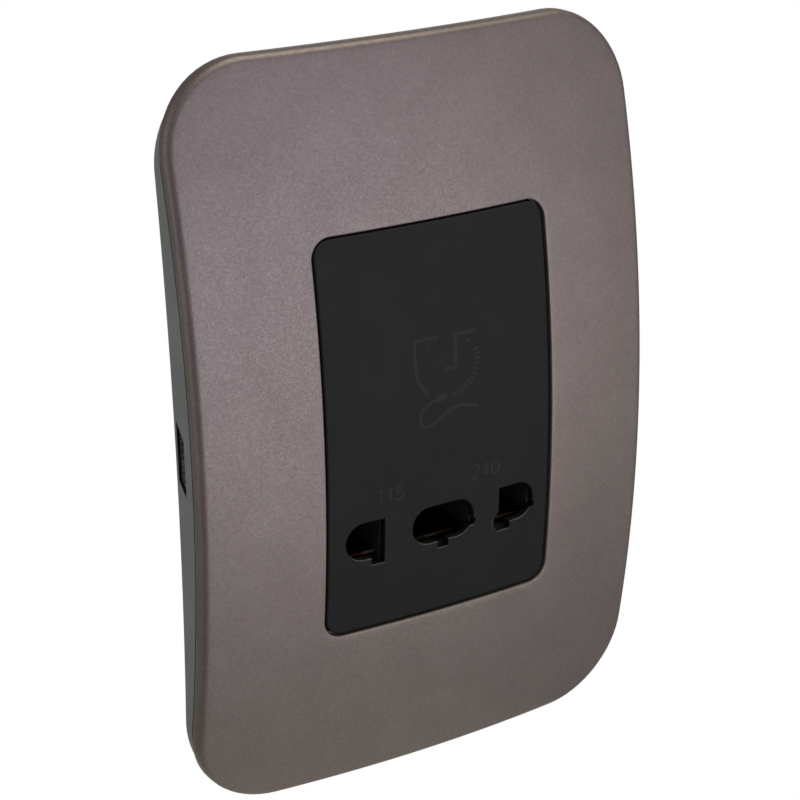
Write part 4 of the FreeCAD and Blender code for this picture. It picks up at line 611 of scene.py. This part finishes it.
def shaverFigure(look):
    # plain shaver sign: two brows, a nose, a cheek line, stubble dashes, the shaver and its cord
    wide, steps = look["figureWidth"], look["curveSteps"]
    lines = [
        ([(-0.5, 15.5), (-5.2, 15.6)], wide),
        (smoothRun([(-5.2, 15.5), (-5.25, 12.1), (-4.7, 8.6), (-2.9, 6.0)], steps), wide),
        ([(7.2, 15.3), (2.7, 15.4)], wide),
        ([(2.7, 15.4), (2.7, 9.9)], wide),
        ([(2.7, 9.9), (0.4, 9.95)], wide),
        ([(-3.1, 14.2), (-2.5, 14.0)], look["eyeWidth"]),
        ([(4.9, 14.0), (5.5, 13.8)], look["eyeWidth"]),
        ([(-1.7, 4.95), (0.7, 5.3)], look["headWidth"]),
        (smoothRun([(-1.6, 4.9), (-3.3, 4.2), (-4.5, 2.9), (-4.3, 1.0), (-2.8, 0.6),
                    (0.2, 2.1), (3.2, 3.05), (6.9, 2.2)], steps), look["cordWidth"]),
    ]
    middle = np.array(look["stubbleMiddle"])           # stubble lies on an arc round the chin
    for angle in np.radians(np.linspace(*look["stubbleTurn"], look["stubbleCount"])):
        way = np.array([math.cos(angle), math.sin(angle)])
        dash = [middle + way * look["stubbleFrom"], middle + way * look["stubbleTo"]]
        lines.append((dash, look["stubbleWidth"]))
    return lines


digitShapes = {                # strokes in a cell 0.62 wide and 1 high
    "0": [[(0.31, 1.0), (0.1, 0.9), (0.0, 0.5), (0.1, 0.1), (0.31, 0.0), (0.52, 0.1),
           (0.62, 0.5), (0.52, 0.9), (0.31, 1.0)]],
    "1": [[(0.12, 0.8), (0.22, 0.86), (0.34, 1.0)], [(0.34, 1.0), (0.34, 0.0)]],
    "2": [[(0.03, 0.72), (0.12, 0.93), (0.31, 1.0), (0.54, 0.9), (0.58, 0.68), (0.4, 0.42),
           (0.04, 0.04)], [(0.02, 0.02), (0.6, 0.02)]],
    "4": [[(0.46, 0.0), (0.46, 1.0)], [(0.46, 1.0), (0.0, 0.3)], [(0.0, 0.28), (0.62, 0.28)]],
    "5": [[(0.56, 0.98), (0.12, 0.98)], [(0.12, 0.98), (0.07, 0.55)],
          [(0.07, 0.53), (0.28, 0.64), (0.52, 0.55), (0.6, 0.32), (0.5, 0.1), (0.28, 0.0),
           (0.03, 0.12)]],
}
voltages = [
    {"text": "115", "left": -13.1, "base": -11.1, "height": 2.4, "pitch": 1.78},
    {"text": "240", "left": 5.6, "base": -10.9, "height": 2.4, "pitch": 2.05},
]


def digits(look, width, steps):
    # each digit's strokes scaled to its height and set along a level line, bends rounded
    strokes = []
    for place, sign in enumerate(look["text"]):
        corner = [look["left"] + place * look["pitch"], look["base"]]
        for stroke in digitShapes[sign]:
            at = np.array(stroke) * look["height"] + corner
            strokes.append((smoothRun(at, steps) if len(stroke) > 2 else at, width))
    return strokes


etched = mouldedPlastic("etched_charcoal_abs", markPlastic)
figure = markPiece("shaver_figure", shaverFigure(marks), marks, etched)
strokes = [stroke for look in voltages
           for stroke in digits(look, marks["digitWidth"], marks["digitSteps"])]
numbers = markPiece("voltage_figures", strokes, marks, etched)
print("marks:", len(figure.data.polygons) + len(numbers.data.polygons), "faces")


stage = {
    "floorMiddle": (0, 0.06, -0.25),
    "floorRadius": 0.2,
    "floorSides": 96,
    "floorRings": 8,
    "floorGrain": 2.5,
    "floorColour": "#f0f0ee",
    "floorShade": "#e8e8e6",
    "floorRoughness": 0.9,
    "floorGloss": 0.2,
    "ambientAbove": 0.3,
    "ambientBelow": 0.09,
    "skyFrom": -0.6,
    "skyTo": 0.9,
    "roomGloss": 0.1,
    "backdropWay": (0.4987, 0.7978, -0.339),    # the way the camera looks
    "backdropEdge": 0.72,
    "backdropFull": 0.92,
}


def makeFloor(look):
    # a pale matt disc below the object: rings of points about its middle
    turn = np.linspace(0, 2 * math.pi, look["floorSides"], endpoint=False)
    count = look["floorRings"]
    radii = np.linspace(look["floorRadius"] / count, look["floorRadius"], count)
    ring = np.stack([np.cos(turn), np.sin(turn)], 1)
    flat = (radii[:, None, None] * ring[None]).reshape(-1, 2)
    points = (np.concatenate([flat, np.zeros((len(flat), 1))], 1) + look["floorMiddle"]) / mm
    faces = gridFaces(count, look["floorSides"], False, True).tolist()
    material, tree, place = startMaterial("pale_floor")
    grain = addNode(tree, "ShaderNodeTexNoise", {
        "Vector": place, "Scale": scaleFor(look["floorGrain"])})
    tone = addNode(tree, "ShaderNodeMix", {
        0: grain.outputs[0], 6: linear(look["floorShade"]), 7: linear(look["floorColour"])},
        data_type="RGBA")
    matt = addNode(tree, "ShaderNodeBsdfPrincipled", {
        "Base Color": tone.outputs[2], "Roughness": look["floorRoughness"],
        "Specular IOR Level": look["floorGloss"]})
    addNode(tree, "ShaderNodeOutputMaterial", {"Surface": matt.outputs[0]})
    floor = meshPiece("floor", points, faces + [list(range(look["floorSides"]))], material)


def makeWorld(look):
    # white backdrop beyond the object, which gloss shows too, in a soft room, brighter above
    world = bpy.data.worlds.new("soft_room")
    world.use_nodes = True
    tree = world.node_tree
    tree.nodes.clear()
    rays = addNode(tree, "ShaderNodeLightPath")
    way = addNode(tree, "ShaderNodeTexCoord")
    axes = addNode(tree, "ShaderNodeSeparateXYZ", {0: way.outputs["Generated"]})
    facing = addNode(tree, "ShaderNodeVectorMath", {
        0: way.outputs["Generated"], 1: look["backdropWay"]}, operation="DOT_PRODUCT")
    shine = addNode(tree, "ShaderNodeMapRange", {
        "Value": facing.outputs["Value"],
        "From Min": look["backdropEdge"], "From Max": look["backdropFull"],
        "To Min": look["roomGloss"], "To Max": 1.0}, interpolation_type="SMOOTHSTEP")
    sky = addNode(tree, "ShaderNodeMapRange", {
        "Value": axes.outputs[2], "From Min": look["skyFrom"], "From Max": look["skyTo"],
        "To Min": look["ambientBelow"], "To Max": look["ambientAbove"]})
    level = addNode(tree, "ShaderNodeMix", {
        0: rays.outputs["Is Glossy Ray"], 2: sky.outputs[0], 3: shine.outputs[0]},
        data_type="FLOAT")
    white = addNode(tree, "ShaderNodeMath", {
        0: rays.outputs["Is Camera Ray"], 1: rays.outputs["Is Transmission Ray"]},
        operation="MAXIMUM")
    final = addNode(tree, "ShaderNodeMix", {
        0: white.outputs[0], 2: level.outputs[0], 3: 1.0}, data_type="FLOAT")
    light = addNode(tree, "ShaderNodeBackground", {
        "Color": (1, 1, 1, 1), "Strength": final.outputs[0]})
    addNode(tree, "ShaderNodeOutputWorld", {"Surface": light.outputs[0]})
    bpy.context.scene.world = world


def aim(thing, azimuth, elevation, distance):
    # stands on a sphere about the origin and looks at it; azimuth 0 is straight in front
    a, e = math.radians(azimuth), math.radians(elevation)
    back = Vector((math.sin(a) * math.cos(e), -math.cos(a) * math.cos(e), math.sin(e)))
    thing.location = back * distance
    thing.rotation_euler = (-back).to_track_quat("-Z", "Y").to_euler()


lamps = {
    "front": {             # wide and low, so that the face fades towards its foot
        "azimuth": 16, "elevation": -7, "distance": 0.9, "size": (1.1, 0.85), "power": 6.0,
        "colour": "#f6f8ff"},
    "ceiling": {           # draws the cream line along the top of the plate
        "azimuth": 60, "elevation": 72, "distance": 0.9, "size": (0.6, 0.6), "power": 4.6,
        "colour": "#fdfade"},
    "behind": {            # lights the skirt and the frame at the left
        "azimuth": -112, "elevation": 8, "distance": 1.0, "size": (1.1, 1.1), "power": 3.0,
        "colour": "#f6faea"},
}


def makeLamps(looks):
    # soft rectangular lamps, all aimed at the origin
    for name, look in looks.items():
        lamp = bpy.data.lights.new(name, "AREA")
        lamp.shape = "RECTANGLE"
        lamp.size, lamp.size_y = look["size"]
        lamp.energy = look["power"]
        lamp.color = linear(look["colour"])[:3]
        thing = bpy.data.objects.new(name, lamp)
        bpy.context.scene.collection.objects.link(thing)
        aim(thing, look["azimuth"], look["elevation"], look["distance"])


camera = {                     # solved from the photograph's outlines, in millimetres
    "place": (-205.425, -328.587, 140.259),
    "right": (0.843585, -0.536558, -0.021702),
    "down": (-0.19918, -0.275112, -0.940553),
    "forward": (0.498691, 0.797759, -0.338952),
    "focalPixels": 2420.795,
    "imagePixels": 800,
    "sensor": 36.0,
}


def makeCamera(look):
    # the axes of the solved camera are the columns of its turn; Blender's looks along minus Z
    data = bpy.data.cameras.new("photo_view")
    data.sensor_width = look["sensor"]
    data.lens = look["focalPixels"] * data.sensor_width / look["imagePixels"]
    thing = bpy.data.objects.new("photo_view", data)
    right, down, forward = (Vector(look[key]) for key in ("right", "down", "forward"))
    turn = Matrix((right, -down, -forward)).transposed().to_4x4()
    thing.matrix_world = Matrix.Translation(Vector(look["place"]) * mm) @ turn
    bpy.context.scene.collection.objects.link(thing)
    bpy.context.scene.camera = thing


makeFloor(stage)
makeWorld(stage)
makeLamps(lamps)
makeCamera(camera)
bpy.context.scene.view_settings.view_transform = "Standard"
print("stage, lamps and camera set")
